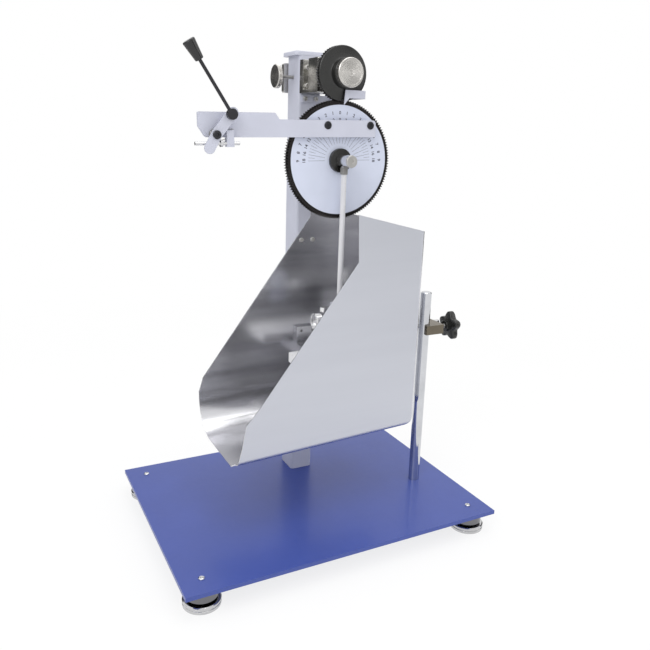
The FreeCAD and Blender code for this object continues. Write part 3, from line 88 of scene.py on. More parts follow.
# materials
class Graph:
    """A material's nodes, with short calls to add and join them."""

    SOCKETS = {"metal": "Metallic", "rough": "Roughness", "coat": "Coat Weight",
               "coat_rough": "Coat Roughness", "spec": "Specular IOR Level", "color": "Base Color"}

    def __init__(self, name):
        self.material = bpy.data.materials.new(name)
        self.material.use_nodes = True
        self.tree = self.material.node_tree
        self.shader = self.tree.nodes["Principled BSDF"]

    def node(self, kind, **values):
        made = self.tree.nodes.new(kind)
        for key, value in values.items():
            setattr(made, key, value)
        return made

    def join(self, a, b):
        self.tree.links.new(a, b)

    def place(self, scale=(1, 1, 1)):
        """Object coordinates, stretched by one factor for each axis."""
        coords = self.node("ShaderNodeTexCoord")
        mapping = self.node("ShaderNodeMapping")
        mapping.inputs["Scale"].default_value = scale
        self.join(coords.outputs["Object"], mapping.inputs["Vector"])
        return mapping.outputs["Vector"]

    def noise(self, vector, scale, detail=3, rough=0.5):
        tex = self.node("ShaderNodeTexNoise")
        tex.inputs["Scale"].default_value = scale
        tex.inputs["Detail"].default_value = detail
        tex.inputs["Roughness"].default_value = rough
        self.join(vector, tex.inputs["Vector"])
        return tex.outputs["Fac"]

    def ramp(self, factor, stops):
        node = self.node("ShaderNodeValToRGB")
        fill_ramp(node.color_ramp, stops)
        self.join(factor, node.inputs["Fac"])
        return node.outputs["Color"]

    def stain(self, color, scale, darkest, rough=0.6):
        """A colour that turns a little darker in patches."""
        patches = self.noise(self.place(), scale, 4, rough)
        return self.ramp(patches, [(0.35, [c * darkest for c in color]), (0.65, color)])

    def range(self, value, to_low, to_high, from_low=0.0, from_high=1.0):
        node = self.node("ShaderNodeMapRange")
        set_range(node, from_low, from_high, to_low, to_high)
        self.join(value, node.inputs["Value"])
        return node.outputs["Result"]

    def mix(self, kind, factor, a, b):
        """a where the factor is 0 and b where it is 1; kind is FLOAT or RGBA."""
        first, result = {"FLOAT": (2, 0), "RGBA": (6, 2)}[kind]
        node = self.node("ShaderNodeMix", data_type=kind)
        self.join(factor, node.inputs[0])
        self.join(a, node.inputs[first])
        self.join(b, node.inputs[first + 1])
        return node.outputs[result]

    def blend(self, factor, a, b):
        """One shader where the factor is 0 and another where it is 1."""
        node = self.node("ShaderNodeMixShader")
        self.join(factor, node.inputs[0])
        self.join(a, node.inputs[1])
        self.join(b, node.inputs[2])
        return node.outputs[0]

    def bump(self, height, strength, distance, normal):
        node = self.node("ShaderNodeBump")
        node.inputs["Strength"].default_value = strength
        node.inputs["Distance"].default_value = distance
        self.join(height, node.inputs["Height"])
        self.join(normal, node.inputs["Normal"])
        return node.outputs["Normal"]

    def rounded(self, radius):
        """A normal that rounds sharp edges a little."""
        bevel = self.node("ShaderNodeBevel", samples=4)
        bevel.inputs["Radius"].default_value = radius
        return bevel.outputs["Normal"]

    def set(self, **values):
        for key, value in values.items():
            socket = self.shader.inputs[self.SOCKETS[key]]
            if hasattr(value, "is_linked"):
                self.join(value, socket)
            elif key == "color":
                socket.default_value = (*value, 1)
            else:
                socket.default_value = value

    def normal(self, output):
        self.join(output, self.shader.inputs["Normal"])


def fill_ramp(color_ramp, stops):
    """Stops of (place, colour), the first and the last on the two that a new ramp has."""
    for element, (position, color) in zip(color_ramp.elements, (stops[0], stops[-1])):
        element.position = position
        element.color = (*color, 1)
    for position, color in stops[1:-1]:
        color_ramp.elements.new(position).color = (*color, 1)


def set_range(node, from_low, from_high, to_low, to_high):
    values = {"From Min": from_low, "From Max": from_high, "To Min": to_low, "To Max": to_high}
    for label, value in values.items():
        node.inputs[label].default_value = value


def painted(name, color, rough, grain, bump=0.05, coat=0.0):
    """Sprayed coat with a fine orange-peel grain and slightly uneven tone."""
    g = Graph(name)
    at = g.place()
    dark = [c * 0.94 for c in color]
    light = [min(1, c * 1.04) for c in color]
    peel = g.noise(at, grain, 2)
    g.set(color=g.ramp(g.noise(at, 14, 4), [(0.3, dark), (0.7, light)]))
    g.set(rough=g.range(peel, rough - 0.05, rough + 0.07), coat=coat, coat_rough=0.12)
    g.normal(g.bump(peel, bump, 0.0004, g.rounded(0.0006)))
    return g.material


def metal(name, color, rough, stretch=(1, 1, 1), grain=900, bump=0.03):
    """Bare metal with fine tool marks, drawn out along an axis whose stretch is small."""
    g = Graph(name)
    marks = g.noise(g.place(stretch), grain, 3, 0.6)
    g.set(metal=1.0, color=g.stain(color, 22, 0.86), rough=g.range(marks, rough * 0.7, rough * 1.35))
    g.normal(g.bump(marks, bump, 0.0002, g.rounded(0.0005)))
    return g.material


def turned_metal(name, color, rough, axis, centre, pitch, bump):
    """Metal with lathe rings about an axis."""
    g = Graph(name)
    coords = g.node("ShaderNodeTexCoord")
    shift = g.node("ShaderNodeVectorMath", operation="SUBTRACT")
    shift.inputs[1].default_value = [c * MM for c in centre]
    g.join(coords.outputs["Object"], shift.inputs[0])
    flat = g.node("ShaderNodeVectorMath", operation="MULTIPLY")
    flat.inputs[1].default_value = [0 if a == axis else 1 for a in "XYZ"]
    g.join(shift.outputs[0], flat.inputs[0])
    length = g.node("ShaderNodeVectorMath", operation="LENGTH")
    g.join(flat.outputs[0], length.inputs[0])
    scale = g.node("ShaderNodeMath", operation="MULTIPLY")
    scale.inputs[1].default_value = 2 * math.pi / (pitch * MM)
    g.join(length.outputs["Value"], scale.inputs[0])
    wave = g.node("ShaderNodeMath", operation="SINE")
    g.join(scale.outputs[0], wave.inputs[0])
    fine = g.noise(g.place(), 700, 2)
    g.set(metal=1.0, color=g.stain(color, 30, 0.85), rough=g.range(fine, rough * 0.75, rough * 1.3))
    g.normal(g.bump(wave.outputs[0], bump, 0.00006, g.rounded(0.0004)))
    return g.material


def plastic(name, color, rough, bump=0.02):
    """Moulding with worn patches that are a little lighter and rougher."""
    g = Graph(name)
    at = g.place()
    fine = g.noise(at, 600, 2)
    worn = g.noise(at, 18, 5, 0.7)
    light = [min(1, c * 1.3 + 0.006) for c in color]
    g.set(color=g.ramp(worn, [(0.4, color), (0.75, light)]), spec=0.55)
    g.set(rough=g.range(worn, rough * 0.8, rough * 1.3))
    g.normal(g.bump(fine, bump, 0.0002, g.rounded(0.0007)))
    return g.material


def guard_sheet():
    """Stainless sheet: satin outside, more polished and a little wavy inside, with painted reflections in
    bands on the inside.
    """
    front_wall = (-0.0846, -0.0840)      # between the faces of the front wall, in metres
    right_wall = (0.1529, 0.1535)        # and of the right wall
    g = Graph("guard_sheet")
    at = g.place()
    split = g.node("ShaderNodeSeparateXYZ")
    g.join(at, split.inputs[0])
    larger = g.node("ShaderNodeMath", operation="MAXIMUM")
    g.join(g.range(split.outputs["Y"], 1, 0, *front_wall), larger.inputs[0])
    g.join(g.range(split.outputs["X"], 0, 1, *right_wall), larger.inputs[1])
    outside = larger.outputs[0]
    # inside, the light and dark bands painted into the polished colour are painted reflections; outside they
    # only shift the satin tone a little
    reflection_and_tone_bands = g.noise(g.place((0.5, 0.6, 7.0)), 3.2, 3, 0.55)
    brushed = g.noise(g.place((0.02, 0.4, 1)), 900, 2)
    painted_reflection_color = g.ramp(reflection_and_tone_bands, [(0.32, (0.44, 0.44, 0.465)), (0.5, (0.66, 0.66, 0.69)),
                                    (0.7, (0.84, 0.84, 0.86))])
    satin_color = g.ramp(reflection_and_tone_bands, [(0.3, (0.60, 0.615, 0.67)), (0.7, (0.63, 0.645, 0.70))])
    g.set(metal=0.92, color=g.mix("RGBA", outside, painted_reflection_color, satin_color))
    g.set(rough=g.mix("FLOAT", outside, g.range(brushed, 0.17, 0.25), g.range(brushed, 0.40, 0.50)))
    wavy = g.bump(g.noise(at, 7, 1), 0.25, 0.0030, g.rounded(0.0007))
    g.normal(g.bump(brushed, 0.04, 0.0001, wavy))
    return g.material


TURNED = (0.66, 0.64, 0.61)
MATERIALS = {
    "white": painted("powder_white", (0.575, 0.59, 0.685), 0.42, 260, 0.10),
    "rod": painted("rod_white", (0.68, 0.68, 0.71), 0.28, 300, 0.04),
    "blue": painted("enamel_blue", (0.040, 0.073, 0.330), 0.36, 180, 0.10, coat=0.20),
    "platform": plastic("platform_white", (0.80, 0.80, 0.83), 0.45),
    "steel": metal("steel_polished", (0.80, 0.80, 0.81), 0.14),
    "steel_x": metal("steel_along_x", (0.78, 0.78, 0.79), 0.16, (0.05, 1, 1)),
    "steel_y": metal("steel_along_y", (0.78, 0.78, 0.79), 0.17, (1, 0.05, 1)),
    "chrome": metal("chrome_post", (0.66, 0.67, 0.70), 0.06, (1, 1, 0.04), 500, 0.015),
    "bracket": metal("bracket_steel", (0.70, 0.69, 0.66), 0.22, (0.06, 1, 1), 700, 0.08),
    "satin": metal("satin_steel", (0.60, 0.59, 0.57), 0.34, (1, 1, 1), 800, 0.08),
    "guard": guard_sheet(),
    "clamp": metal("clamp_steel", (0.20, 0.175, 0.135), 0.34, (1, 0.1, 1), 500, 0.08),
    "gear": metal("gear_black", (0.035, 0.032, 0.032), 0.38, (1, 1, 1), 700, 0.08),
    "gloss": plastic("gloss_black", (0.010, 0.010, 0.009), 0.26, 0.01),
    "grip": plastic("grip_black", (0.012, 0.012, 0.013), 0.22, 0.02),
    "face": painted("dial_face_white", (0.64, 0.68, 0.81), 0.34, 500, 0.02),
    "ink": plastic("dial_ink", (0.03, 0.03, 0.045), 0.5),
    "dark": metal("dark_screw", (0.055, 0.055, 0.06), 0.32, (1, 1, 1), 700, 0.05),
    "knurl": turned_metal("knurled_steel", TURNED, 0.26, "Y", (HUB_X, 0, PINION_Z), 1.1, 0.5),
    "lock": turned_metal("lock_knob_steel", TURNED, 0.26, "X", (0, LOCK_Y, PINION_Z), 1.1, 0.5),
    "foot": metal("foot_chrome", (0.62, 0.62, 0.63), 0.14, (1, 1, 0.1), 400, 0.03),
    # the foot bodies are the same chrome as the pads, painted much darker as painted shade under the plate
    "foot_painted_shade": metal("foot_body_chrome_painted_shade", (0.20, 0.20, 0.215), 0.20, (1, 1, 0.1), 400, 0.03),
    "thread": metal("thread_steel", (0.30, 0.295, 0.29), 0.30, (1, 1, 1), 800, 0.05),
}

NODE_MATERIALS = {
    "white": "column column_cap arm_plate latch_link hammer_block pointer_strip pointer pin_guide",
    "rod": "pendulum_rod",
    "blue": "base_plate",
    "platform": "bottle_platform back_stop_block",
    "steel": "spindle_end_screw spindle_nut pendulum_hub striker_tail striker_nose striker_nut catch_eye "
             "latch_pivot_boss arm_spacers foot_screws",
    "steel_x": "striker_bar stop_rod latch_pin star_knob_screw",
    "steel_y": "pinion_shaft shaft_collar pinion_spacer spindle spindle_housing",
    "chrome": "post",
    "bracket": "bearing_bracket",
    "satin": "rear_bearing_plate column_anchor base_screws flange_screws",
    "guard": "guard platform_bracket",
    "clamp": "clamp_block",
    "gear": "dial_gear pinion_gear dial_ring_nut",
    "gloss": "hand_wheel star_knob rod_lock_nut dial_boss",
    "grip": "lever_grip",
    "face": "dial_face",
    "dark": "arm_screws latch_pivot_screw latch_spring lever_rod",
    "knurl": "knurled_disc",
    "lock": "lock_knob",
    "foot_painted_shade": "foot_bodies",
    "foot": "foot_pad_front_left foot_pad_back_left foot_pad_front_right foot_pad_back_right",
}
for key, names in NODE_MATERIALS.items():
    for name in names.split():
        slots = nodes[name].data.materials
        slots.clear()
        slots.append(MATERIALS[key])


# mesh helpers
def finish_piece(obj, body, material, replaces=(), smooth=True):
    """Give a piece its material, the body that it rides on and the nodes whose place it takes."""
    scene.collection.objects.link(obj)
    obj.data.materials.append(MATERIALS[material])
    if smooth:
        for face in obj.data.polygons:
            face.use_smooth = True
        obj.data.set_sharp_from_angle(angle=math.radians(32))
    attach(obj, body)
    if replaces:
        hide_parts(*replaces)


def mesh_object(name, vertices, faces):
    data = bpy.data.meshes.new(name)
    data.from_pydata([Vector(v) * MM for v in vertices], [], faces)
    data.update()
    return bpy.data.objects.new(name, data)


def circle(radius, count=24):
    return [radius] * count


def hexagon(corner, count=24):
    """Radii of a hexagon, point by point."""
    radii = []
    for k in range(count):
        angle = math.radians((360 * k / count) % 60 - 30)
        radii.append(corner * math.cos(math.radians(30)) / math.cos(angle))
    return radii


def knurl(radius, count, depth=0.45):
    return [radius if k % 2 else radius - depth for k in range(count)]


def ring_at(centre, axis, at, radii):
    """A ring of points about an axis; at is its place along that axis."""
    points = []
    for k, radius in enumerate(radii):
        angle = 2 * math.pi * k / len(radii)
        u, v = math.cos(angle) * radius, math.sin(angle) * radius
        if axis == "X":
            points.append((at, centre[1] + u, centre[2] + v))
        elif axis == "Y":
            points.append((centre[0] + u, at, centre[2] + v))
        else:
            points.append((centre[0] + u, centre[1] + v, at))
    return points


def loft(rings):
    """A closed surface through rings of points, with a cap at both ends."""
    count = len(rings[0])
    points = [p for ring in rings for p in ring]
    faces = []
    for i in range(len(rings) - 1):
        a, b = i * count, (i + 1) * count
        for k in range(count):
            n = (k + 1) % count
            faces.append((a + k, a + n, b + n, b + k))
    faces.append(tuple(range(count)))
    faces.append(tuple(range((len(rings) - 1) * count, len(rings) * count)))
    return points, faces


def turned_piece(centre, axis, profile):
    """Loft through (place, radii) pairs about one axis."""
    return loft([ring_at(centre, axis, at, radii) for at, radii in profile])


def turned_round(centre, axis, profile, count):
    """Turned piece from (place, radius) pairs."""
    return turned_piece(centre, axis, [(at, circle(radius, count)) for at, radius in profile])


def soft_block(left, right, front, back, corner, levels, tighten=0.0):
    """Upright block with round corners; levels are (height, inset) pairs.

    tighten says how much of each inset comes off the corner's radius."""
    rings = []
    for height, inset in levels:
        outline = rounded_box(left + inset, right - inset, front + inset, back - inset,
                              corner - inset * tighten)
        rings.append([(x, y, height) for x, y in outline])
    return loft(rings)


def rounded_box(left, right, low, high, corner, steps=5):
    """Outline of a rectangle with round corners."""
    points = []
    for u, v, start in ((right - corner, high - corner, 0), (left + corner, high - corner, 90),
                        (left + corner, low + corner, 180), (right - corner, low + corner, 270)):
        for k in range(steps + 1):
            angle = math.radians(start + 90 * k / steps)
            points.append((u + math.cos(angle) * corner, v + math.sin(angle) * corner))
    return points


def cap_screw(centre, axis, seat, way, head, height, shank, length, socket, dome=0.0):
    """A socket screw: the head on one side of its seat, the shank on the other."""
    def at(distance):
        return seat + way * distance

    edge = min(0.5, height * 0.2)
    profile = [(at(-length), circle(shank)), (at(0), circle(shank)), (at(0), circle(head)),
               (at(height - edge - dome), circle(head)), (at(height - dome), circle(head - edge)),
               (at(height), circle(socket * 1.25)), (at(height - 0.15), hexagon(socket)),
               (at(height * 0.35), hexagon(socket))]
    return turned_piece(centre, axis, profile)


def threaded(centre, axis, start, end, radius, pitch=1.25, depth=0.5, count=20):
    """A thread: the radius follows the helix from ring to ring."""
    steps = int((end - start) / pitch * 6)
    profile = []
    for i in range(steps + 1):
        at = start + (end - start) * i / steps
        turns = [(at / pitch + k / count) % 1 for k in range(count)]
        profile.append((at, [radius - depth * abs(2 * turn - 1) for turn in turns]))
    return turned_piece(centre, axis, profile)


def joined_mesh(name, parts):
    """One object from several closed surfaces, with its faces turned outwards."""
    points, faces = [], []
    for part_points, part_faces in parts:
        first = len(points)
        points += part_points
        faces += [tuple(first + i for i in face) for face in part_faces]
    obj = mesh_object(name, points, faces)
    work = bmesh.new()
    work.from_mesh(obj.data)
    bmesh.ops.recalc_face_normals(work, faces=work.faces)
    work.to_mesh(obj.data)
    work.free()
    return obj


def solid_piece(name, parts, body, material, replaces=()):
    finish_piece(joined_mesh(name, parts), body, material, replaces)


def bored(obj, *cutters):
    """The piece with each cutter taken out of it."""
    for cutter in cutters:
        scene.collection.objects.link(cutter)
        tool = obj.modifiers.new("bore", "BOOLEAN")
        tool.object = cutter
        tool.operation = "DIFFERENCE"
        tool.solver = "EXACT"
    scene.collection.objects.link(obj)
    bpy.context.view_layer.update()
    cut = bpy.data.meshes.new_from_object(obj.evaluated_get(bpy.context.evaluated_depsgraph_get()))
    obj.modifiers.clear()
    obj.data = cut
    scene.collection.objects.unlink(obj)
    for cutter in cutters:
        bpy.data.objects.remove(cutter)
    return obj


def arm_point(x, y, z):
    """Model point of a place in the tilted frame of dial and arm, in millimetres from the hub."""
    c, s = math.cos(ARM_TILT), math.sin(ARM_TILT)
    return (HUB_X + x * c + z * s, y, HUB_Z + z * c - x * s)


# dial scale: radial lines over the upper half, and two rings of plain numbers
def dial_scale():
    outer_end, long_start, short_start, half_line = 50, 24, 40, 0.17
    ink_lift = 0.06
    vertices, faces = [], []
    for k in range(37):
        at = math.radians(k * 5)
        out = (math.cos(at), math.sin(at))
        side = (-out[1] * half_line, out[0] * half_line)
        start = short_start if k % 2 else long_start
        first = len(vertices)
        for r, s in ((start, -1), (outer_end, -1), (outer_end, 1), (start, 1)):
            x, z = out[0] * r + side[0] * s, out[1] * r + side[1] * s
            vertices.append(arm_point(x, DIAL_FRONT - ink_lift, z))
        faces.append((first, first + 1, first + 2, first + 3))
    finish_piece(mesh_object("dial_scale_lines", vertices, faces), "dial", "ink", smooth=False)

    # ring, radius and what one mark of ten degrees counts
    for ring, radius, factor in (("outer", 66.0, 1), ("inner", 56.5, 2)):
        for k in range(19):
            angle = k * 10
            count = abs(90 - angle) // 10 * factor
            text = bpy.data.curves.new("dial_number_%s_%02d" % (ring, k), "FONT")
            text.body = str(count)
            text.size = 6.4 * MM
            text.offset = 0.12 * MM
            text.align_x = "CENTER"
            text.align_y = "CENTER"
            obj = bpy.data.objects.new(text.name, text)
            at = math.radians(angle)
            spot = Vector(arm_point(math.cos(at) * radius, DIAL_FRONT - 0.07, math.sin(at) * radius)) * MM
            upright = Matrix.Rotation(math.radians(90), 4, "X")
            spin = Matrix.Rotation(math.radians(90 - angle) + ARM_TILT, 4, "Y")
            obj.matrix_world = Matrix.Translation(spot) @ spin @ upright
            finish_piece(obj, "dial", "ink", smooth=False)


def knurled_disc():
    """Disc on the hand wheel, with a shallow dish and a centre mark."""
    teeth, radius = 168, 20
    back, front = WHEEL_FRONT, WHEEL_FRONT - 8.0
    disc = turned_piece((HUB_X, 0, PINION_Z), "Y", [
        (back, circle(radius - 1.2, teeth)), (back - 0.8, knurl(radius, teeth)),
        (front + 0.8, knurl(radius, teeth)), (front, circle(radius - 1.1, teeth)),
        (front, circle(16.6, teeth)), (front + 0.25, circle(16.2, teeth)),
        (front + 0.25, circle(4.4, teeth)), (front + 0.8, circle(3.6, teeth))])
    solid_piece("knurled_disc_face", [disc], "pinion", "knurl", ["knurled_disc"])


def lock_knob():
    """Knurled knob on a neck, and its screw through the column's wall."""
    centre = (0, LOCK_Y, PINION_Z)
    teeth, radius, neck = 144, 17.5, 5.75
    outer, inner, neck_end, screw_end = -18.5, -11.5, -7.5, 26.8
    head = turned_piece(centre, "X", [
        (outer, circle(radius - 1.2, teeth)), (outer + 0.8, knurl(radius, teeth)),
        (inner - 0.8, knurl(radius, teeth)), (inner, circle(radius - 1.1, teeth)),
        (inner, circle(neck, teeth)), (neck_end - 0.4, circle(neck, teeth)),
        (neck_end, circle(neck - 0.55, teeth))])
    solid_piece("lock_knob_turned", [head], "lock_knob", "lock", ["lock_knob"])
    screw = threaded(centre, "X", neck_end - 0.2, screw_end, 2.75, 1.0, 0.4)
    solid_piece("lock_knob_thread", [screw], "lock_knob", "thread")


def star_knob():
    """Five-lobed knob on a neck, and its screw into the clamp."""
    centre = (0, POST_Y, CLAMP_Z)
    count, mean, swell, neck = 120, 20.4, 3.6, 9.0
    neck_start, back, front, screw_start = 232.0, 238.2, 249.9, 200.6
    lobes = [mean + swell * math.cos(5 * (2 * math.pi * k / count - math.pi / 2)) for k in range(count)]

    def scaled(factor):
        return [radius * factor for radius in lobes]

    star = turned_piece(centre, "X", [
        (neck_start, circle(neck - 0.6, count)), (neck_start + 0.6, circle(neck, count)),
        (237.9, circle(neck, count)), (back, circle(10.5, count)),
        (back, scaled(0.86)), (238.7, scaled(0.93)), (239.8, scaled(0.985)),
        (241.2, scaled(1.0)), (246.4, scaled(1.0)), (248.0, scaled(0.985)), (249.2, scaled(0.93)),
        (front, scaled(0.84)), (front, scaled(0.60)), (front - 0.5, circle(9.4, count)),
        (front - 0.5, circle(5.6, count)), (front - 1.0, circle(5.0, count))])
    solid_piece("star_knob_moulded", [star], "clamp_screw", "gloss", ["star_knob"])
    screw = threaded(centre, "X", screw_start, 238.0, 4.0)
    solid_piece("star_knob_thread", [screw], "clamp_screw", "thread", ["star_knob_screw"])


# small screws with sockets
def screws():
    def grid(z, pitch_x, pitch_z):
        return [(HUB_X + pitch_x * a / 2, z + pitch_z * b / 2) for a in (-1, 1) for b in (-1, 1)]

    def rows(pitch, *heights):
        return [(HUB_X + pitch * a / 2, z) for z in heights for a in (-1, 1)]

    # spots, seat, way out, head height, shank length
    sets = (
        (grid(PINION_Z, 24, 26), 60.0, -1, 4.0, 17.0),           # bearing bracket
        (grid(PINION_Z, 22, 34), 124.0, 1, 2.5, 12.0),           # bearing plate behind the column
        (grid(HUB_Z, 24, 46), 60.0, -1, 4.0, 17.0),              # spindle housing
        (rows(20, 214, 440, 290), 70.5, -1, 2.2, 6.5),           # guard
        (rows(20, 230), 62.5, -1, 4.0, 14.5),                    # platform bracket
        (rows(18, 657.5), 70.0, -1, 2.2, 7.0),                   # pointer strip
    )
    parts = []
    for spots, seat, way, height, length in sets:
        for x, z in spots:
            parts.append(cap_screw((x, 0, z), "Y", seat, way, 3.5, height, 2.0, length, 1.75))
    solid_piece("flange_screws_socketed", parts, "frame", "satin", ["flange_screws"])

    corners = [(x, y, 0) for x in (-FOOT_X, FOOT_X) for y in (-FOOT_Y, FOOT_Y)]
    parts = [cap_screw(corner, "Z", PLATE_TOP, 1, 4.2, 2.5, 3.0, 6.0, 2.0, 0.4) for corner in corners]
    solid_piece("foot_screws_socketed", parts, "frame", "steel", ["foot_screws"])

    spots = [(HUB_X, 85, 0), (HUB_X, 103, 0), (POST_X, POST_Y, 0)]
    parts = [cap_screw(spot, "Z", PLATE_LOW, -1, 6.5, 6.0, 4.0, 20.0, 3.4) for spot in spots]
    solid_piece("base_screws_socketed", parts, "frame", "satin", ["base_screws"])

    spots = [arm_point(x, 0, 48.8) for x in (-23.7, 45.1)]
    parts = [cap_screw(spot, "Y", ARM_FRONT, -1, 5.5, 1.7, 3.0, 15.0, 2.2, 0.5) for spot in spots]
    solid_piece("arm_screws_socketed", parts, "dial", "dark", ["arm_screws"])

    pivot = cap_screw(arm_point(PIVOT_X, 0, PIVOT_Z), "Y", -51.3, -1, 5.5, 3.0, 3.0, 17.3, 2.4, 0.5)
    solid_piece("latch_pivot_socketed", [pivot], "dial", "dark", ["latch_pivot_screw"])

    end = cap_screw((HUB_X, 0, HUB_Z), "Y", -65.3, -1, 8.4, 2.4, 3.0, 2.0, 3.2)
    solid_piece("spindle_end_socketed", [end], "frame", "satin", ["spindle_end_screw"])


# pendulum: hexagonal lock nut and hollow tail disc
def pendulum_details():
    low, high, corner = 551.15, 561.15, 6.0
    nut = turned_piece((HUB_X, SWING_Y, 0), "Z", [
        (low, circle(5.1)), (low + 0.6, hexagon(corner)), (high - 0.6, hexagon(corner)),
        (high, circle(5.1))])
    solid_piece("rod_lock_nut_hexagonal", [nut], "pendulum", "thread", ["rod_lock_nut"])
    tail = turned_round((0, SWING_Y, STRIKER_Z), "X", [
        (0.0, 12.8), (-0.7, 13.5), (-9.3, 13.5), (-9.8, 13.0), (-10.0, 12.6), (-10.0, 10.9), (-9.6, 10.4),
        (-6.0, 10.2), (-6.0, 4.2), (-6.6, 3.8)], 64)
    solid_piece("striker_tail_hollow", [tail], "pendulum", "steel", ["striker_tail"])


# torsion spring of the release latch, wound on the pivot boss
def latch_coil():
    wire, radius = 0.5, 6.85
    start, depth, turns, steps = -40.6, 5.0, 4.5, 20
    run = [(26.0, start, radius), (12.0, start, radius)]
    for k in range(int(turns * steps) + 1):
        angle = math.radians(90) + 2 * math.pi * k / steps
        run.append((math.cos(angle) * radius, start - depth * k / (turns * steps), math.sin(angle) * radius))
    run += [(6.0, -45.8, -radius), (13.0, -46.0, -radius + 0.6)]
    curve = bpy.data.curves.new("latch_spring_coil", "CURVE")
    curve.dimensions = "3D"
    curve.bevel_depth = wire * MM
    curve.bevel_resolution = 3
    curve.use_fill_caps = True
    line = curve.splines.new("POLY")
    line.points.add(len(run) - 1)
    for point, (x, y, z) in zip(line.points, run):
        point.co = (*(Vector(arm_point(PIVOT_X + x, y, PIVOT_Z + z)) * MM), 1)
    coil = bpy.data.objects.new("latch_spring_coil", curve)
    finish_piece(coil, "dial", "thread", ["latch_spring"], smooth=False)


# pieces shaped after the photograph, each in place of a plainer solid
def turned_wheel():
    """Wide black wheel: a flat rim, a low dome and a neck that carries the knurled disc."""
    bore, neck, seat, rim = 6.0, 20.5, 34.0, 37.4
    wheel = turned_round((HUB_X, 0, PINION_Z), "Y", [
        (DIAL_FRONT, bore), (DIAL_FRONT, seat - 0.4), (-30.4, seat), (-30.4, rim - 0.8), (-30.9, rim - 0.1),
        (-31.9, rim), (-32.6, rim - 0.8), (-32.9, seat), (-33.9, 27.0), (-34.8, 22.0), (-36.0, neck),
        (-47.2, neck), (WHEEL_FRONT, neck - 0.9), (WHEEL_FRONT, bore)], 96)
    solid_piece("hand_wheel_turned", [wheel], "pinion", "gloss", ["hand_wheel"])


def column_lid():
    """Lid of the column, with a soft edge."""
    side = 50.0
    lid = soft_block(HUB_X - side / 2, HUB_X + side / 2, COLUMN_FRONT, COLUMN_FRONT + side, 5.0,
                     [(719.7, 0.0), (724.4, 0.0), (725.5, 0.5), (726.0, 1.6)], tighten=0.5)
    solid_piece("column_lid_soft", [lid], "frame", "white", ["column_cap"])


def narrow_clamp():
    """Clamp that ends short of the knob's neck, so that the screw's thread shows."""
    left, right, front, back = 187.0, 220.5, -58.0, -10.0
    half = 7.5
    block = soft_block(left, right, front, back, 1.0, [(CLAMP_Z - half, 0.0), (CLAMP_Z + half, 0.0)])

    def bore(name, centre, axis, start, end, radius, count):
        return joined_mesh(name, [turned_round(centre, axis, [(start, radius), (end, radius)], count)])

    cutters = (bore("post_bore", (POST_X, POST_Y, 0), "Z", 290, 320, 9.2, 64),
               bore("rod_bore", (0, STOP_ROD_Y, CLAMP_Z), "X", 180, 240, 5.2, 48),
               bore("screw_bore", (0, POST_Y, CLAMP_Z), "X", 196, 240, 4.2, 32))
    clamp = bored(joined_mesh("clamp_block_narrow", [block]), *cutters)
    finish_piece(clamp, "clamp", "clamp", ["clamp_block"])


def narrow_hammer():
    """Hammer block with soft edges, and the shank that holds its catch eye."""
    half_width, half_depth, low, high = 11.0, 10.0, 314.0, 362.0
    levels = [(low, 1.0), (low + 1.0, 0.0), (high - 1.0, 0.0), (high, 1.0)]
    block = soft_block(HUB_X - half_width, HUB_X + half_width, SWING_Y - half_depth, SWING_Y + half_depth,
                       1.5, levels)
    solid_piece("hammer_block_soft", [block], "pendulum", "white", ["hammer_block"])
    shank = turned_round((0, SWING_Y, 354.5), "X", [(18.6, 2.5), (21.4, 2.5)], 24)
    solid_piece("catch_eye_shank", [shank], "pendulum", "steel")


def feet():
    """Round foot bodies whose chrome is painted darker for the shade under the plate, over bright pads with
    a groove.
    """
    bodies = []
    bore, body, pad_radius, groove = STUD + 0.3, 22.0, 26.0, 25.2
    for side, x in (("left", -FOOT_X), ("right", FOOT_X)):
        for depth, y in (("front", -FOOT_Y), ("back", FOOT_Y)):
            bodies.append(turned_round((x, y, 0), "Z", [
                (29.0, bore), (13.0, bore), (13.0, body - 1.0), (13.8, body), (28.6, body),
                (PLATE_LOW, body - 1.2)], 64))
            pad = turned_round((x, y, 0), "Z", [
                (0.0, 25.0), (0.8, pad_radius), (4.4, pad_radius), (4.9, groove), (5.5, groove),
                (6.0, pad_radius), (8.8, pad_radius), (10.0, 24.4), (10.0, STUD), (20.0, STUD)], 72)
            corner = "%s_%s" % (depth, side)
            solid_piece("pad_turned_" + corner, [pad], "pad_" + corner, "foot",
                        ["foot_pad_" + corner])
    solid_piece("foot_bodies_turned", bodies, "frame", "foot_painted_shade", ["foot_bodies"])


# stage, light and world, in metres
def seen_rays(tree):
    """1 for camera, glossy and transmission rays, which see the white studio."""
    path = tree.nodes.new("ShaderNodeLightPath")
    value = path.outputs["Is Camera Ray"]
    for name in ("Is Glossy Ray", "Is Transmission Ray"):
        larger = tree.nodes.new("ShaderNodeMath")
        larger.operation = "MAXIMUM"
        tree.links.new(value, larger.inputs[0])
        tree.links.new(path.outputs[name], larger.inputs[1])
        value = larger.outputs[0]
    return value


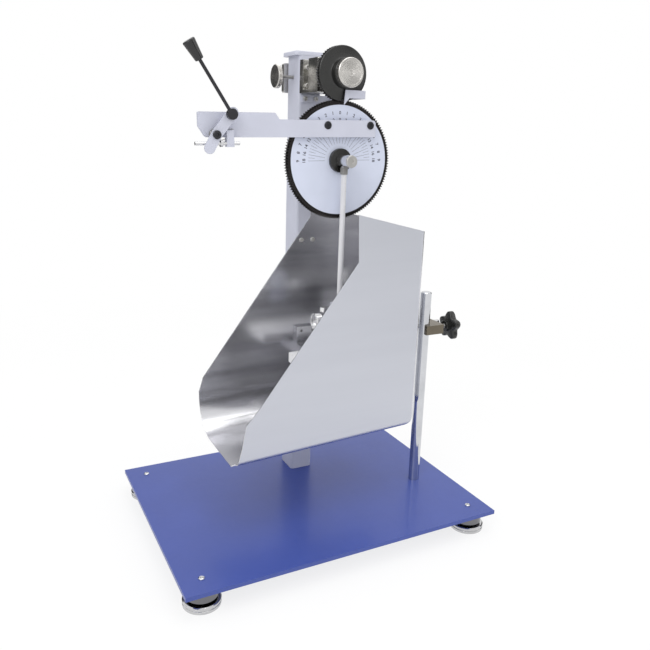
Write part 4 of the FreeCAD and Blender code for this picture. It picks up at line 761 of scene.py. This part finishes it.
def white_floor():
    """Pale floor that keeps the shadow near the part and fades to full white farther out."""
    shadow_reach, white_from = 0.45, 1.6
    bpy.ops.mesh.primitive_plane_add(size=8, location=(0, 0, 0))
    floor = bpy.context.object
    floor.name = "floor"
    g = Graph("floor_white")
    speck = g.noise(g.place(), 3, 3)
    g.set(color=g.ramp(speck, [(0.3, (0.90, 0.90, 0.90)), (0.7, (0.93, 0.93, 0.93))]), rough=0.9)
    glow = g.node("ShaderNodeEmission")
    glow.inputs["Strength"].default_value = 1.0
    away = g.node("ShaderNodeVectorMath", operation="LENGTH")
    g.join(g.place(), away.inputs[0])
    fade = g.range(away.outputs["Value"], 0.80, 1.0, shadow_reach, white_from)
    shader = g.shader.outputs[0]
    seen = g.blend(fade, shader, glow.outputs[0])
    g.join(g.blend(seen_rays(g.tree), shader, seen), g.tree.nodes["Material Output"].inputs["Surface"])
    floor.data.materials.append(g.material)


def studio_world():
    """Grey light that brightens upwards, behind a background that is seen as white."""
    world = bpy.data.worlds.new("studio")
    scene.world = world
    world.use_nodes = True
    tree = world.node_tree
    coords = tree.nodes.new("ShaderNodeTexCoord")
    split = tree.nodes.new("ShaderNodeSeparateXYZ")
    half = tree.nodes.new("ShaderNodeMapRange")
    ramp = tree.nodes.new("ShaderNodeValToRGB")
    set_range(half, -1, 1, 0, 1)
    greys = ((0.0, 0.75), (0.5, 0.62), (0.75, 0.86), (1.0, 1.0))
    fill_ramp(ramp.color_ramp, [(at, (grey, grey, grey)) for at, grey in greys])
    tree.links.new(coords.outputs["Generated"], split.inputs[0])
    tree.links.new(split.outputs["Z"], half.inputs["Value"])
    tree.links.new(half.outputs["Result"], ramp.inputs["Fac"])
    white = tree.nodes.new("ShaderNodeMixRGB")
    white.inputs["Color2"].default_value = (1, 1, 1, 1)
    tree.links.new(seen_rays(tree), white.inputs["Fac"])
    tree.links.new(ramp.outputs["Color"], white.inputs["Color1"])
    background = tree.nodes["Background"]
    background.inputs["Strength"].default_value = 1.0
    tree.links.new(white.outputs["Color"], background.inputs["Color"])


def flag(name, heading, distance, width, high, material):
    """A black studio card that shows only in reflections; heading is in degrees from +Y towards +X."""
    low = 0.05
    at = math.radians(heading)
    out = Vector((math.sin(at), math.cos(at), 0)) * distance
    side = Vector((math.cos(at), -math.sin(at), 0)) * width / 2
    corners = [out + side * s + Vector((0, 0, z)) for s, z in ((-1, low), (1, low), (1, high), (-1, high))]
    data = bpy.data.meshes.new(name)
    data.from_pydata(corners, [], [(0, 1, 2, 3)])
    obj = bpy.data.objects.new(name, data)
    scene.collection.objects.link(obj)
    data.materials.append(material)
    obj.visible_camera = False
    obj.visible_diffuse = False
    obj.visible_shadow = False
    obj.visible_transmission = False


def flags():
    black = Graph("flag_black")
    weave = black.noise(black.place(), 40, 2)
    black.set(color=black.ramp(weave, [(0.3, (0.03, 0.03, 0.03)), (0.7, (0.04, 0.04, 0.04))]), rough=0.9)
    flag("flag_back_left", -22, 2.2, 1.7, 1.5, black.material)
    flag("flag_back_right", 78, 2.2, 1.7, 1.5, black.material)
    flag("flag_front_left", 285, 2.4, 0.9, 1.6, black.material)
    flag("flag_front_right", 140, 2.4, 0.9, 1.6, black.material)


def lamp(name, spot, aim, size, power):
    data = bpy.data.lights.new(name, "AREA")
    data.shape = "RECTANGLE"
    data.size, data.size_y = size
    data.energy = power
    obj = bpy.data.objects.new(name, data)
    scene.collection.objects.link(obj)
    obj.location = spot
    obj.rotation_euler = (Vector(aim) - Vector(spot)).to_track_quat("-Z", "Y").to_euler()


make_camera()
dial_scale()
knurled_disc()
lock_knob()
star_knob()
screws()
pendulum_details()
latch_coil()
turned_wheel()
column_lid()
narrow_clamp()
narrow_hammer()
feet()
white_floor()
studio_world()
flags()
lamp("key", (-1.6, -1.2, 1.9), (0, 0, 0.35), (1.2, 1.2), 14)
lamp("top", (0.2, -0.2, 2.4), (0, 0, 0.3), (1.6, 1.2), 10)
lamp("fill", (1.7, -1.3, 1.0), (0, 0, 0.35), (0.9, 1.2), 4)
scene.view_settings.view_transform = "Standard"
